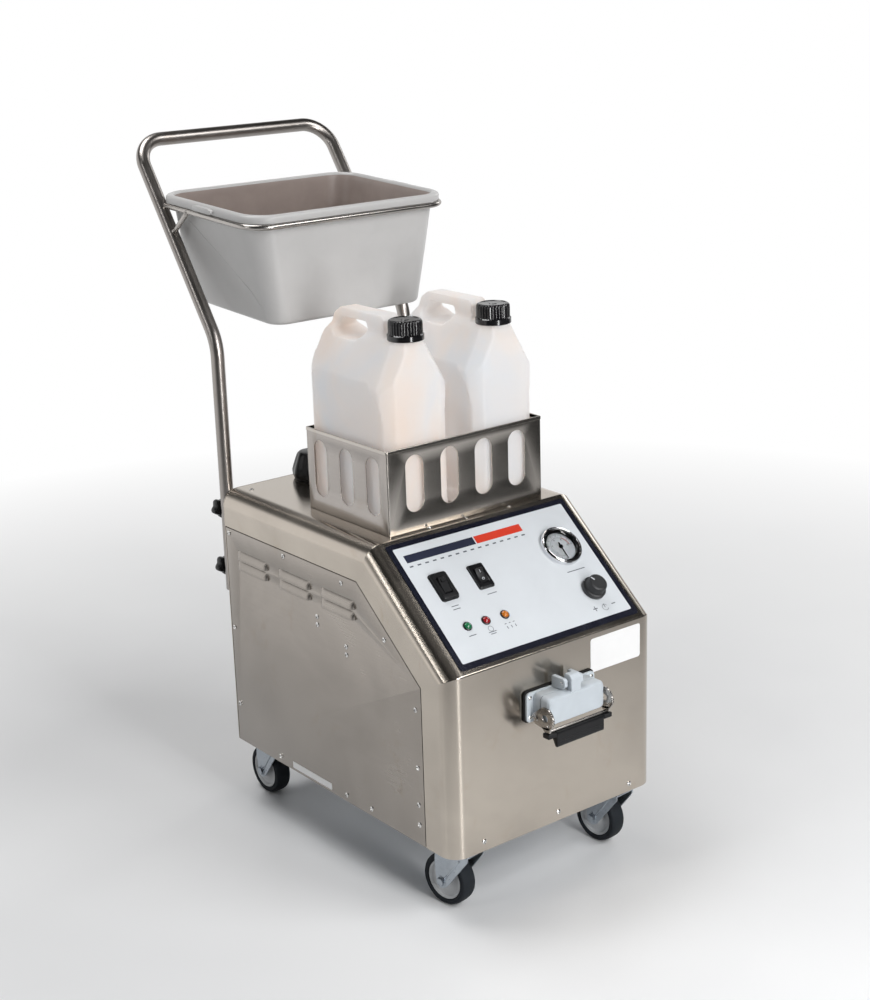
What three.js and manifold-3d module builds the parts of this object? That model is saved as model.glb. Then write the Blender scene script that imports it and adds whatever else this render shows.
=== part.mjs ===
// Commercial steam cleaner: wheeled steel body, control slope, tray with two cans, push handle with bucket.
// Millimetres, +Z up, front faces -Y. Lengths are set out from the front face and shifted to the middle last.
import * as THREE from "three";
import { mergeVertices } from "three/addons/utils/BufferGeometryUtils.js";
import Module from "manifold-3d";

const wasm = await Module();
wasm.setup();

// Body cover
const WIDTH = 368;
const DEPTH = 524;
const BOTTOM = 97;
const FRONT_TOP = 355;
const TOP = 494;
const SLOPE_RUN = 168;
const BEND = 25;
const SHEET = 1.5;
const FLANGE = 58;
const FLANGE_TOP = 54;
const GAP = 0.3;
const SEAM = 1.6;
const SLOPE_ANGLE = Math.atan2(TOP - FRONT_TOP, SLOPE_RUN);
// Tray and cans
const TRAY = { width: 272, depth: 188, height: 118, front: 180, sheet: 1.5 };
const TRAY_FLOOR = TOP + GAP;
const CAN = { half: 57, depth: 178, x: 76, front: 185, shoulder: 698, roof: 750, top: 780, cap: 208 };
// Handle, ring and bucket
const TUBE = 10;
const TUBE_BORE = 8.4;
const LEG_X = 170;
const LEG_Y = 537;
const LEG_FOOT = 335;
const KNEE = 712;
const LEAN = THREE.MathUtils.degToRad(35.6);
const REACH = 337;
const CLAMP_Z = [368, 458];
const BUCKET = { y: 548, z: 909.4, tilt: THREE.MathUtils.degToRad(2.9), depth: 161 };
const RING = { x: 171, front: -131, drop: -16.2, rod: 4 };
// Casters
const WHEEL_R = 37.5;
const TRAIL = 25;
const CASTERS = [
  { name: "front_left", x: -138, y: 38, turn: -10 },
  { name: "front_right", x: 138, y: 36, turn: -5 },
  { name: "rear_left", x: -138, y: 488, turn: 0 },
  { name: "rear_right", x: 138, y: 488, turn: 8 },
];
// Controls on the slope: across, up the slope from the front edge
const PANEL = { half: 158, from: 7, to: 211 };
const BOOT_SWITCH = { x: -110, s: 130, w: 27, h: 42 };
const MAIN_SWITCH = { x: -47, s: 129, w: 25, h: 38 };
const GAUGE = { x: 103, s: 137, r: 31 };
const KNOB = { x: 110, s: 61, r: 17.5 };
const LAMPS = [
  { name: "lamp_green", x: -111, color: 0x2f9a4a },
  { name: "lamp_red", x: -79.5, color: 0xb02a24 },
  { name: "lamp_amber", x: -47, color: 0xd08a1c },
];
const LAMP_S = 65;
// Steam connector on the front
const INLET = { x: 2, z: 283, pinY: -27, pinZ: 313, leverY: -18, leverZ: 271 };
// Filler on the top
const FILLER = { x: -46, y: 491 };
// Origin: middle of the whole object's plan
const SHIFT = -348.5;

const STEEL = [0xb9b0a4, 0.9, 0.3];
const ZINC = [0xa9b4bf, 0.8, 0.35];
const BLACK = [0x1c1d1f, 0, 0.5];
const GREY_PLASTIC = [0xc3c2c0, 0, 0.5];
const CAN_PLASTIC = [0xe6dfda, 0, 0.4];
const RUBBER = [0x474d52, 0, 0.8];
const CAST = [0xbfc5cb, 0.5, 0.5];

const group = new THREE.Group();
group.name = "steam_cleaner";

// --- helpers ---
const V = (x, y, z) => new THREE.Vector3(x, y, z);
const X = V(1, 0, 0);
const Y = V(0, 1, 0);
const Z = V(0, 0, 1);

function bare(geometry) {
  const plain = geometry.index ? geometry.toNonIndexed() : geometry.clone();
  for (const key of Object.keys(plain.attributes)) {
    if (key !== "position") plain.deleteAttribute(key);
  }
  return plain;
}

function solid(geometry) {
  const merged = mergeVertices(bare(geometry), 1e-4);
  return new wasm.Manifold(
    new wasm.Mesh({
      numProp: 3,
      vertProperties: merged.attributes.position.array,
      triVerts: new Uint32Array(merged.index.array),
    }),
  );
}

function back(manifold) {
  const mesh = manifold.getMesh();
  const geometry = new THREE.BufferGeometry();
  geometry.setAttribute("position", new THREE.BufferAttribute(mesh.vertProperties, 3));
  geometry.setIndex(new THREE.BufferAttribute(mesh.triVerts, 1));
  return geometry.toNonIndexed();
}

function join(...parts) {
  return back(parts.map(solid).reduce((a, b) => a.add(b)));
}

function cut(base, ...tools) {
  return back(tools.map(solid).reduce((a, b) => a.subtract(b), solid(base)));
}

function meet(a, b) {
  return back(solid(a).intersect(solid(b)));
}

function add(name, geometry, [color, metalness, roughness], frame) {
  const placed = bare(geometry);
  if (frame) placed.applyMatrix4(frame);
  placed.translate(0, SHIFT, 0);
  placed.computeVertexNormals();
  const material = new THREE.MeshStandardMaterial({ color, metalness, roughness });
  const mesh = new THREE.Mesh(placed, material);
  mesh.name = name;
  group.add(mesh);
}

function box(x0, x1, y0, y1, z0, z1) {
  const geometry = new THREE.BoxGeometry(x1 - x0, y1 - y0, z1 - z0);
  return geometry.translate((x0 + x1) / 2, (y0 + y1) / 2, (z0 + z1) / 2);
}

// Cylinder along an axis, from a to b on it, round the centre given.
function bar(radius, axis, a, b, centre, sides = 20) {
  const geometry = new THREE.CylinderGeometry(radius, radius, b - a, sides);
  geometry.translate(0, (a + b) / 2, 0);
  return turnTo(geometry, axis).translate(centre.x, centre.y, centre.z);
}

// Geometry made about +Y, turned to another axis.
function turnTo(geometry, axis) {
  if (axis === X) geometry.rotateZ(-Math.PI / 2);
  if (axis === Z) geometry.rotateX(Math.PI / 2);
  return geometry;
}

// Lathe of [radius, height] pairs whose loop closes on itself or on the axis.
function turned(profile, axis, sides = 24) {
  const points = profile.map(([r, h]) => new THREE.Vector2(r, h));
  if (profile[0][0] > 0) points.push(points[0].clone());
  const geometry = bare(new THREE.LatheGeometry(points, sides));
  return turnTo(outward(geometry), axis);
}

function outward(geometry) {
  const p = geometry.attributes.position;
  let volume = 0;
  for (let i = 0; i < p.count; i += 3) {
    const [a, b, c] = [0, 1, 2].map((k) => new THREE.Vector3().fromBufferAttribute(p, i + k));
    volume += a.dot(b.cross(c));
  }
  if (volume > 0) return geometry;
  const flipped = geometry.clone();
  for (let i = 0; i < p.count; i += 3) {
    flipped.attributes.position.setXYZ(i + 1, p.getX(i + 2), p.getY(i + 2), p.getZ(i + 2));
    flipped.attributes.position.setXYZ(i + 2, p.getX(i + 1), p.getY(i + 1), p.getZ(i + 1));
  }
  return flipped;
}

// Closed body through rings of equal length, flat at both ends.
function loft(rings) {
  const n = rings[0].length;
  const out = [];
  const tri = (a, b, c) => out.push(a.x, a.y, a.z, b.x, b.y, b.z, c.x, c.y, c.z);
  for (let k = 0; k + 1 < rings.length; k++) {
    for (let i = 0; i < n; i++) {
      const j = (i + 1) % n;
      tri(rings[k][i], rings[k][j], rings[k + 1][j]);
      tri(rings[k][i], rings[k + 1][j], rings[k + 1][i]);
    }
  }
  for (let i = 1; i + 1 < n; i++) {
    const last = rings[rings.length - 1];
    tri(rings[0][0], rings[0][i + 1], rings[0][i]);
    tri(last[0], last[i], last[i + 1]);
  }
  const geometry = new THREE.BufferGeometry();
  geometry.setAttribute("position", new THREE.Float32BufferAttribute(out, 3));
  return outward(geometry);
}

// Rounded rectangle ring at height z.
function ringOf(hx, hy, r, z, cx = 0, cy = 0, n = 4) {
  const ring = [];
  for (let q = 0; q < 4; q++) {
    const sx = q === 0 || q === 3 ? 1 : -1;
    const sy = q < 2 ? 1 : -1;
    for (let i = 0; i <= n; i++) {
      const t = ((q + i / n) * Math.PI) / 2;
      ring.push(V(cx + sx * (hx - r) + r * Math.cos(t), cy + sy * (hy - r) + r * Math.sin(t), z));
    }
  }
  return ring;
}

function polygon(points) {
  return new THREE.Shape(points.map(([a, b]) => new THREE.Vector2(a, b)));
}

function circlePath(x, y, r, n = 16) {
  const points = [];
  for (let i = 0; i < n; i++) {
    points.push(new THREE.Vector2(x + r * Math.cos((2 * Math.PI * i) / n), y + r * Math.sin((2 * Math.PI * i) / n)));
  }
  return new THREE.Path(points);
}

// Rounded corners put on a list of [a, b] corners.
function rounded(corners, radius, n = 4) {
  const out = [];
  corners.forEach(([ax, ay], i) => {
    const before = corners[(i + corners.length - 1) % corners.length];
    const after = corners[(i + 1) % corners.length];
    const u = new THREE.Vector2(before[0] - ax, before[1] - ay).normalize();
    const w = new THREE.Vector2(after[0] - ax, after[1] - ay).normalize();
    const half = Math.acos(THREE.MathUtils.clamp(u.dot(w), -1, 1)) / 2;
    const reach = radius / Math.tan(half);
    const centre = u.clone().add(w).normalize().multiplyScalar(radius / Math.sin(half));
    const start = u.clone().multiplyScalar(reach).sub(centre);
    const end = w.clone().multiplyScalar(reach).sub(centre);
    const turn = Math.atan2(start.x * end.y - start.y * end.x, start.dot(end));
    for (let k = 0; k <= n; k++) {
      const p = start.clone().rotateAround(new THREE.Vector2(), (turn * k) / n);
      out.push([ax + centre.x + p.x, ay + centre.y + p.y]);
    }
  });
  return out;
}

function rectangle(x0, x1, y0, y1) {
  return [[x0, y0], [x1, y0], [x1, y1], [x0, y1]];
}

function extrude(shape, depth) {
  return bare(new THREE.ExtrudeGeometry(shape, { depth, bevelEnabled: false, curveSegments: 8 }));
}

// Shape drawn in (y, z), thick from x0 to x1.
function alongX(shape, x0, x1) {
  const turn = new THREE.Matrix4().makeBasis(Y, Z, X).setPosition(x0, 0, 0);
  return extrude(shape, x1 - x0).applyMatrix4(turn);
}

// Shape drawn in (x, z), thick from y0 to y1.
function alongY(shape, y0, y1) {
  const turn = new THREE.Matrix4().makeBasis(X, Z, V(0, -1, 0)).setPosition(0, y1, 0);
  return extrude(shape, y1 - y0).applyMatrix4(turn);
}

// Shape drawn in (x, y), thick from z0 to z1.
function alongZ(shape, z0, z1) {
  return extrude(shape, z1 - z0).translate(0, 0, z0);
}

// Path through corners with an arc at each inner one: a station at each end of a straight.
function bentPath(corners, radii, perBend = 6) {
  const stations = [{ p: corners[0], t: corners[1].clone().sub(corners[0]).normalize() }];
  for (let i = 1; i + 1 < corners.length; i++) {
    const a = corners[i].clone().sub(corners[i - 1]).normalize();
    const b = corners[i + 1].clone().sub(corners[i]).normalize();
    const radius = Array.isArray(radii) ? radii[i - 1] : radii;
    const angle = a.angleTo(b);
    const reach = radius * Math.tan(angle / 2);
    const axis = a.clone().cross(b).normalize();
    const side = axis.clone().cross(a);
    const start = corners[i].clone().addScaledVector(a, -reach);
    const centre = start.clone().addScaledVector(side, radius);
    for (let k = 0; k <= perBend; k++) {
      const t = (angle * k) / perBend;
      const p = side.clone().multiplyScalar(-radius).applyAxisAngle(axis, t).add(centre);
      stations.push({ p, t: a.clone().applyAxisAngle(axis, t) });
    }
  }
  const n = corners.length;
  stations.push({ p: corners[n - 1], t: corners[n - 1].clone().sub(corners[n - 2]).normalize() });
  return stations;
}

class StationCurve extends THREE.Curve {
  constructor(stations) {
    super();
    this.stations = stations;
  }
  at(u) {
    return this.stations[Math.round(u * (this.stations.length - 1))];
  }
  getPointAt(u) {
    return this.at(u).p.clone();
  }
  getTangentAt(u) {
    return this.at(u).t.clone();
  }
}

function sweep(stations, radius, bore = 0, sides = 12) {
  const shape = new THREE.Shape(circlePath(0, 0, radius, sides).getPoints());
  if (bore > 0) shape.holes.push(circlePath(0, 0, bore, sides));
  const extrudePath = new StationCurve(stations);
  return bare(new THREE.ExtrudeGeometry(shape, { steps: stations.length - 1, extrudePath }));
}

function frameAt(x, y, z, tilt) {
  const up = V(0, Math.cos(tilt), Math.sin(tilt));
  const out = V(0, -Math.sin(tilt), Math.cos(tilt));
  return new THREE.Matrix4().makeBasis(X, up, out).setPosition(x, y, z);
}

// --- body cover ---
// Side outline of the body, drawn in by d on the front and slope and by dTop on the top.
function outline(d, dTop = d, bottom = BOTTOM, rear = DEPTH) {
  const [s, c] = [Math.sin(SLOPE_ANGLE), Math.cos(SLOPE_ANGLE)];
  const top = TOP - dTop;
  return [
    [d, bottom],
    [d, FRONT_TOP - (d * (1 - s)) / c],
    [((top - FRONT_TOP) * c + d) / s, top],
    [rear, top],
    [rear, bottom],
  ];
}

function coverBlock(thinner, bottom, rear) {
  const rings = [];
  const steps = 7;
  for (const side of [-1, 1]) {
    for (let k = 0; k <= steps; k++) {
      const t = ((side < 0 ? k : steps - k) / steps) * (Math.PI / 2);
      const x = side * (WIDTH / 2 - BEND + (BEND - thinner) * Math.cos(t));
      const d = thinner + (BEND - thinner) * (1 - Math.sin(t));
      rings.push(outline(d, d, bottom, rear).map(([y, z]) => V(x, y, z)));
    }
  }
  return loft(rings);
}

const slope = frameAt(0, 0, FRONT_TOP, SLOPE_ANGLE);
const onSlope = (geometry) => geometry.clone().applyMatrix4(slope);
const window = polygon(outline(FLANGE, FLANGE_TOP, BOTTOM - 20, DEPTH + 20));
const slopeHoles = [
  box(-9, 9, -15, 15, -20, 20).translate(BOOT_SWITCH.x, BOOT_SWITCH.s, 0),
  box(-9.5, 9.5, -13.5, 13.5, -20, 20).translate(MAIN_SWITCH.x, MAIN_SWITCH.s, 0),
  bar(27, Z, -20, 20, V(GAUGE.x, GAUGE.s, 0), 24),
  bar(4.6, Z, -20, 20, V(KNOB.x, KNOB.s, 0), 12),
  ...LAMPS.map((lamp) => bar(5, Z, -20, 20, V(lamp.x, LAMP_S, 0), 12)),
];
const inletHole = box(INLET.x - 42, INLET.x + 42, -10, 10, INLET.z - 14, INLET.z + 14);
add(
  "cover",
  cut(
    coverBlock(0, BOTTOM, DEPTH),
    coverBlock(SHEET, BOTTOM - 30, DEPTH + 30),
    alongX(window, -WIDTH / 2 - 5, WIDTH / 2 + 5),
    ...slopeHoles.map(onSlope),
    inletHole,
    bar(20.4, Z, TOP - 20, TOP + 20, V(FILLER.x, FILLER.y, 0), 20),
  ),
  STEEL,
);

// Side panels sit flush in the cover's window, with a lip behind its edge and two rows of louvres.
const LOUVRE_Y = [239.5, 345, 453.5];
const LOUVRE_Z = [381, 396.5];
const LOUVRE = { half: 38.5, tall: 14, proud: 5 };

function louvreHood(y, z, x) {
  const { half, tall, proud } = LOUVRE;
  const wedge = new THREE.Shape([
    new THREE.Vector2(0, 0),
    new THREE.Vector2(proud, 0),
    new THREE.Vector2(proud, 2),
    new THREE.Vector2(0, tall),
  ]);
  const turn = new THREE.Matrix4().makeBasis(X, Z, V(0, -1, 0)).setPosition(x, y + half, z);
  return extrude(wedge, 2 * half).applyMatrix4(turn);
}

function sidePanel() {
  const x0 = -WIDTH / 2;
  const face = polygon(outline(FLANGE + SEAM, FLANGE_TOP + SEAM, BOTTOM, DEPTH - 1));
  const lip = polygon(outline(FLANGE - 9, FLANGE_TOP - 9, BOTTOM, DEPTH - 1));
  let panel = join(alongX(face, x0, x0 + 2.2), alongX(lip, x0 + SHEET + GAP, x0 + 3.3));
  for (const y of LOUVRE_Y) {
    for (const z of LOUVRE_Z) {
      const hood = louvreHood(y, z, 0).scale(-1, 1, 1);
      const skin = outward(hood).translate(x0 + 1, 0, 0);
      const hollow = box(x0 - LOUVRE.proud + 2, x0 + 8, y - LOUVRE.half + 2, y + LOUVRE.half - 2, z - 4, z + 3.5);
      panel = cut(join(panel, skin), hollow);
    }
  }
  return panel;
}

const leftPanel = sidePanel();
add("side_panel_left", leftPanel, STEEL);
add("side_panel_right", outward(leftPanel.clone().scale(-1, 1, 1)), STEEL);

// Rear panel with holes for the four clamp studs.
const rearShape = polygon([
  [-WIDTH / 2, BOTTOM],
  [WIDTH / 2, BOTTOM],
  ...rounded(
    [[WIDTH / 2, BOTTOM], [WIDTH / 2, TOP], [-WIDTH / 2, TOP], [-WIDTH / 2, BOTTOM]],
    BEND,
    6,
  ).slice(7, 21),
]);
for (const side of [-1, 1]) {
  for (const z of CLAMP_Z) rearShape.holes.push(circlePath(side * LEG_X, z, 4.3, 12));
}
add("rear_panel", alongY(rearShape, DEPTH + GAP, DEPTH + GAP + SHEET), STEEL);

const FLOOR_TOP = BOTTOM + 2;
const baseShape = polygon(rounded(rectangle(-180, 180, SHEET + 0.5, DEPTH - 0.5), BEND, 5));
add("base_plate", alongZ(baseShape, BOTTOM, FLOOR_TOP), ZINC);

// --- control panel ---
const panelShape = polygon(
  rounded(rectangle(-PANEL.half, PANEL.half, PANEL.from, PANEL.to), 4, 3),
);
add(
  "control_label",
  cut(alongZ(panelShape, GAP, GAP + 0.8), ...slopeHoles),
  [0xd6dbdf, 0, 0.4],
  slope,
);

const ON_LABEL = 1.4;

// Rocker switch: a collar on the label with a body through it, open at the front, and a rocker on a pin line.
function rockerSwitch(name, { x, s, w, h }, rim, body, well) {
  const collar = extrude(polygon(rounded(rectangle(-w / 2, w / 2, -h / 2, h / 2), 4, 3)), rim);
  collar.translate(0, 0, ON_LABEL);
  const stem = box(-body.w / 2, body.w / 2, -body.h / 2, body.h / 2, -24, ON_LABEL + 0.5);
  const hollow = box(-well.w / 2, well.w / 2, -well.h / 2, well.h / 2, -15, 30);
  add(`${name}_frame`, cut(join(collar, stem), hollow).translate(x, s, 0), BLACK, slope);
}

function rocker(name, { x, s }, width, half, proud, color) {
  const shape = polygon([
    [-half, -3],
    [half, -3],
    [half, proud + 2.2],
    [0, proud - 0.6],
    [-half, proud - 1.6],
  ]);
  const body = alongX(shape, -width / 2, width / 2);
  add(`${name}_rocker`, body.translate(x, s, ON_LABEL), color, slope);
}

rockerSwitch("boot_switch", BOOT_SWITCH, 5, { w: 17, h: 29 }, { w: 14, h: 26 });
rocker("boot_switch", BOOT_SWITCH, 12.6, 11.6, 6, [0x26272a, 0, 0.7]);
rockerSwitch("main_switch", MAIN_SWITCH, 3, { w: 18, h: 26 }, { w: 15, h: 23 });
rocker("main_switch", MAIN_SWITCH, 13.6, 10.2, 4.2, [0x222326, 0, 0.35]);

for (const lamp of LAMPS) {
  const profile = [[0, -14], [4.6, -14], [4.6, ON_LABEL], [6.5, ON_LABEL], [6.5, 3.4], [5, 5.2], [0, 5.8]];
  add(lamp.name, turned(profile, Z, 16).translate(lamp.x, LAMP_S, 0), [lamp.color, 0, 0.25], slope);
}

const knobProfile = [
  [0, -16],
  [4, -16],
  [4, ON_LABEL],
  [KNOB.r, ON_LABEL + GAP],
  [KNOB.r, 6],
  [KNOB.r - 1.5, 17],
  [KNOB.r - 3, 18.2],
  [0, 18.2],
];
const pointer = box(-1, 1, 5, KNOB.r - 3, 18, 19);
add(
  "regulator_knob",
  join(turned(knobProfile, Z, 28), pointer).translate(KNOB.x, KNOB.s, 0),
  [0x3a3c40, 0, 0.45],
  slope,
);

const gaugeCase = [
  [0, -26],
  [26.6, -26],
  [26.6, ON_LABEL],
  [GAUGE.r, ON_LABEL],
  [GAUGE.r, 7],
  [GAUGE.r - 2, 9.5],
  [GAUGE.r - 4, 9.5],
  [GAUGE.r - 4, 7.4],
  [GAUGE.r - 5.5, 7.4],
  [GAUGE.r - 5.5, 1],
  [2.4, 1],
  [2.4, -3],
  [0, -3],
];
const atGauge = (geometry) => geometry.translate(GAUGE.x, GAUGE.s, 0);
add("gauge_case", atGauge(turned(gaugeCase, Z, 32)), [0xb8b8b8, 0.9, 0.25], slope);
add(
  "gauge_lens",
  atGauge(turned([[0, 7.7], [GAUGE.r - 4.3, 7.7], [GAUGE.r - 4.3, 8.9], [0, 8.9]], Z, 32)),
  [0xdfe6ea, 0, 0.1],
  slope,
);
const needle = [[-1.6, 5], [-0.5, -21], [0.5, -21], [1.6, 5]];
add(
  "gauge_needle",
  atGauge(join(alongZ(polygon(needle), 3, 4), bar(3.4, Z, 2, 5, V(0, 0, 0), 12), bar(1.8, Z, -2.6, 3, V(0, 0, 0), 10))),
  BLACK,
  slope,
);

// --- filler on the top ---
const fillerNeck = [
  [17, TOP - 20],
  [20, TOP - 20],
  [20, TOP + GAP],
  [28, TOP + GAP],
  [28, TOP + 3],
  [20, TOP + 3],
  [20, TOP + 19],
  [17, TOP + 19],
];
const fillerCap = [
  [0, TOP + 20.5],
  [20.6, TOP + 20.5],
  [20.6, TOP + 3.4],
  [30, TOP + 3.4],
  [31, TOP + 13],
  [22, TOP + 39],
  [19, TOP + 41],
  [0, TOP + 41],
];
add("filler_neck", turned(fillerNeck, Z, 20).translate(FILLER.x, FILLER.y, 0), BLACK);
add("filler_cap", turned(fillerCap, Z, 24).translate(FILLER.x, FILLER.y, 0), BLACK);

// --- tray ---
const SLOT = { half: 15.2, low: 26, high: 106 };

function slotPath(u, low, high, r) {
  const points = [];
  for (const [cz, start] of [[high - r, 0], [low + r, Math.PI]]) {
    for (let k = 0; k <= 6; k++) {
      const t = start + (Math.PI * k) / 6;
      points.push([u + r * Math.cos(t), cz + r * Math.sin(t)]);
    }
  }
  return polygon(points);
}

function trayShell() {
  const { width, depth, height, sheet } = TRAY;
  const outer = box(-width / 2, width / 2, 0, depth, 0, height);
  const inner = box(-width / 2 + sheet, width / 2 - sheet, sheet, depth - sheet, sheet, height + 5);
  const front = [-90, -30, 30, 90].map((x) =>
    alongY(slotPath(x, SLOT.low, SLOT.high, SLOT.half), -10, depth + 10),
  );
  const side = [-61, 0, 61].map((y) =>
    alongX(slotPath(depth / 2 + y, SLOT.low - 3, SLOT.high - 2, SLOT.half), -width, width),
  );
  return cut(outer, inner, ...front, ...side);
}
add("tray", trayShell().translate(0, TRAY.front, TRAY_FLOOR), STEEL);

// --- cans: hollow, shoulders drawn in to the neck, grip bridge behind the neck ---
function canBody(side) {
  const floor = TRAY_FLOOR + TRAY.sheet + GAP;
  const middle = CAN.front + CAN.depth / 2;
  const ring = (hx, hy, r, z, cy = middle) => ringOf(hx, hy, r, z, 0, cy);
  const hy = CAN.depth / 2;
  const skin = (t) => [
    ring(CAN.half - 6 - t, hy - 6 - t, 22, floor + t),
    ring(CAN.half - t, hy - t, 26 - t, floor + 7),
    ring(CAN.half - t, hy - t, 26 - t, CAN.shoulder),
    ring(CAN.half - 4 - t, hy - 2 - t, 26 - t, CAN.shoulder + 20),
    ring(CAN.half - 11 - t, hy - 6 - t, 26 - t, CAN.shoulder + 36),
    ring(CAN.half - 22 - t, hy - 12 - t, 22 - t, CAN.roof - t),
  ];
  const neck = bar(21, Z, CAN.roof - 30, CAN.roof + 14, V(0, CAN.cap, 0), 20);
  const bore = bar(16, Z, CAN.roof - 20, CAN.roof + 30, V(0, CAN.cap, 0), 16);
  const bridge = [
    [236, CAN.roof - 34],
    [235, CAN.top - 10],
    [243, CAN.top],
    [338, CAN.top],
    [352, CAN.top - 9],
    [359, CAN.top - 24],
    [357, CAN.roof - 34],
  ];
  const grip = alongX(polygon(rounded(bridge, 6, 2)), -12, 12);
  const fingers = [[272, CAN.roof + 2], [277, CAN.top - 13], [332, CAN.top - 13], [342, CAN.roof], [306, CAN.roof - 6]];
  const hole = alongX(polygon(rounded(fingers, 4, 2)), -80, 80);
  const shell = cut(join(loft(skin(0)), neck, grip), loft(skin(3)), bore);
  // Walls of the finger hole are closed by a lining where it crosses the hollow.
  const around = alongX(polygon(rounded(fingers, 4, 2).map(([y, z]) => grow(y, z, 3))), -24, 24);
  const lining = meet(around, join(loft(skin(0)), grip));
  return cut(join(shell, lining), hole).translate(side * CAN.x, 0, 0);
}

function grow(y, z, by) {
  const away = new THREE.Vector2(y - 307, z - (CAN.roof + 5));
  const longer = away.clone().normalize().multiplyScalar(by).add(away);
  return [307 + longer.x, CAN.roof + 5 + longer.y];
}

const canCap = [
  [0, 15.6],
  [21.6, 15.6],
  [21.6, 1],
  [25, 1],
  [25, 10],
  [23.2, 13],
  [23.2, 27],
  [21, 29],
  [0, 29],
];
for (const [side, name] of [[-1, "left"], [1, "right"]]) {
  add(`can_${name}`, canBody(side), CAN_PLASTIC);
  add(`can_cap_${name}`, turned(canCap, Z, 24).translate(side * CAN.x, CAN.cap, CAN.roof), BLACK);
}

// --- push handle: one bent tube, clamped behind the body by four star knobs ---
const kneeTop = V(0, Math.sin(LEAN), Math.cos(LEAN)).multiplyScalar(REACH);
const kneeAt = (side) => V(side * LEG_X, LEG_Y, KNEE);
const handlePath = bentPath(
  [
    V(-LEG_X, LEG_Y, LEG_FOOT),
    kneeAt(-1),
    kneeAt(-1).add(kneeTop),
    kneeAt(1).add(kneeTop),
    kneeAt(1),
    V(LEG_X, LEG_Y, LEG_FOOT),
  ],
  [70, 43, 43, 70],
);
const studHoles = [];
for (const side of [-1, 1]) {
  for (const z of CLAMP_Z) {
    studHoles.push(bar(4.3, Y, LEG_Y - 20, LEG_Y + 20, V(side * LEG_X, 0, z), 12));
  }
}
add("handle", cut(sweep(handlePath, TUBE, TUBE_BORE), ...studHoles), STEEL);

function starKnob() {
  const star = [];
  for (let k = 0; k < 30; k++) {
    const t = (2 * Math.PI * k) / 30;
    const r = 13.6 + 2 * Math.cos(5 * t);
    star.push([r * Math.cos(t), r * Math.sin(t)]);
  }
  const head = alongY(polygon(star), 12, 26);
  const hub = bar(9, Y, TUBE + GAP, 13, V(0, 0, 0), 16);
  const stud = bar(3.6, Y, -22, 12, V(0, 0, 0), 10);
  return join(head, hub, stud);
}
for (const [side, name] of [[-1, "left"], [1, "right"]]) {
  CLAMP_Z.forEach((z, i) => {
    const label = `clamp_knob_${i ? "upper" : "lower"}_${name}`;
    add(label, starKnob().translate(side * LEG_X, LEG_Y, z), BLACK);
  });
}

// --- bucket ring: bent rod with two braces, and the bucket that hangs in it ---
const bucketFrame = frameAt(0, BUCKET.y, BUCKET.z, BUCKET.tilt);
const legY = (z) => LEG_Y + (z - KNEE) * Math.tan(LEAN);
const RING_REAR = 104.7;
const ringRod = sweep(
  bentPath(
    [
      V(-RING.x, RING_REAR, RING.drop),
      V(-RING.x, RING.front, RING.drop),
      V(RING.x, RING.front, RING.drop),
      V(RING.x, RING_REAR, RING.drop),
    ],
    38,
  ),
  RING.rod,
  0,
  10,
);
const brace = (side) =>
  sweep(
    bentPath([V(side * RING.x, 42, RING.drop), V(side * RING.x, 81.8, -50.2)], 10),
    RING.rod - 0.3,
    0,
    10,
  );
add("bucket_ring", join(ringRod, brace(-1), brace(1)), STEEL, bucketFrame);

const bucketShell = loft([
  ringOf(128, 115, 22, -BUCKET.depth),
  ringOf(133.5, 120.5, 26, -BUCKET.depth + 5),
  ringOf(161.5, 123.5, 35, -12),
  ringOf(172, 131.3, 41.5, -11.8),
  ringOf(172.5, 131.8, 42, -4),
  ringOf(169, 128.5, 39, -0.8),
  ringOf(163, 124, 36, 0),
  ringOf(159.5, 121.3, 33, -1.5),
  ringOf(131, 118, 24, -BUCKET.depth + 6),
  ringOf(126, 113, 20, -BUCKET.depth + 2.6),
]);
const lugShape = polygon(rounded(rectangle(-28, 22, -10.8, -4.6), 1.6, 2));
add(
  "bucket",
  join(bucketShell, alongX(lugShape, -178, -168), alongX(lugShape, 168, 178)),
  GREY_PLASTIC,
  bucketFrame,
);

// --- steam connector on the front ---
const inletX = (shape, a, b) => alongX(shape, INLET.x + a, INLET.x + b);
const plateAt = (hx, hz, r, y0, y1) =>
  alongY(
    polygon(rounded(rectangle(INLET.x - hx, INLET.x + hx, INLET.z - hz, INLET.z + hz), r, 3)),
    y0,
    y1,
  );
add(
  "inlet_gasket",
  cut(plateAt(62.5, 22.5, 5, -3, -GAP), inletHole),
  BLACK,
);
const ear = polygon([
  [-6, 301.5],
  [-22, 303.8],
  [-29.5, 305.8],
  [-33, 309.5],
  [-33, 317],
  [-30, 320],
  [-8, 320],
  [-6, 318],
]);
const inletPin = bar(2, X, -17, 17, V(INLET.x, INLET.pinY, INLET.pinZ), 10);
add(
  "inlet_housing",
  cut(
    join(
      plateAt(61, 21, 5, -7, -3.3),
      plateAt(50, 19.5, 5, -21, -6),
      inletX(ear, -17, -11),
      inletX(ear, 11, 17),
      inletPin,
    ),
    plateAt(44, 13.5, 3, -30, 5),
    box(INLET.x - 10.5, INLET.x + 10.5, -24, -20, 299, 330),
  ),
  CAST,
);
add("inlet_socket", plateAt(41, 12.5, 3, -18, -1), BLACK);

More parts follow.
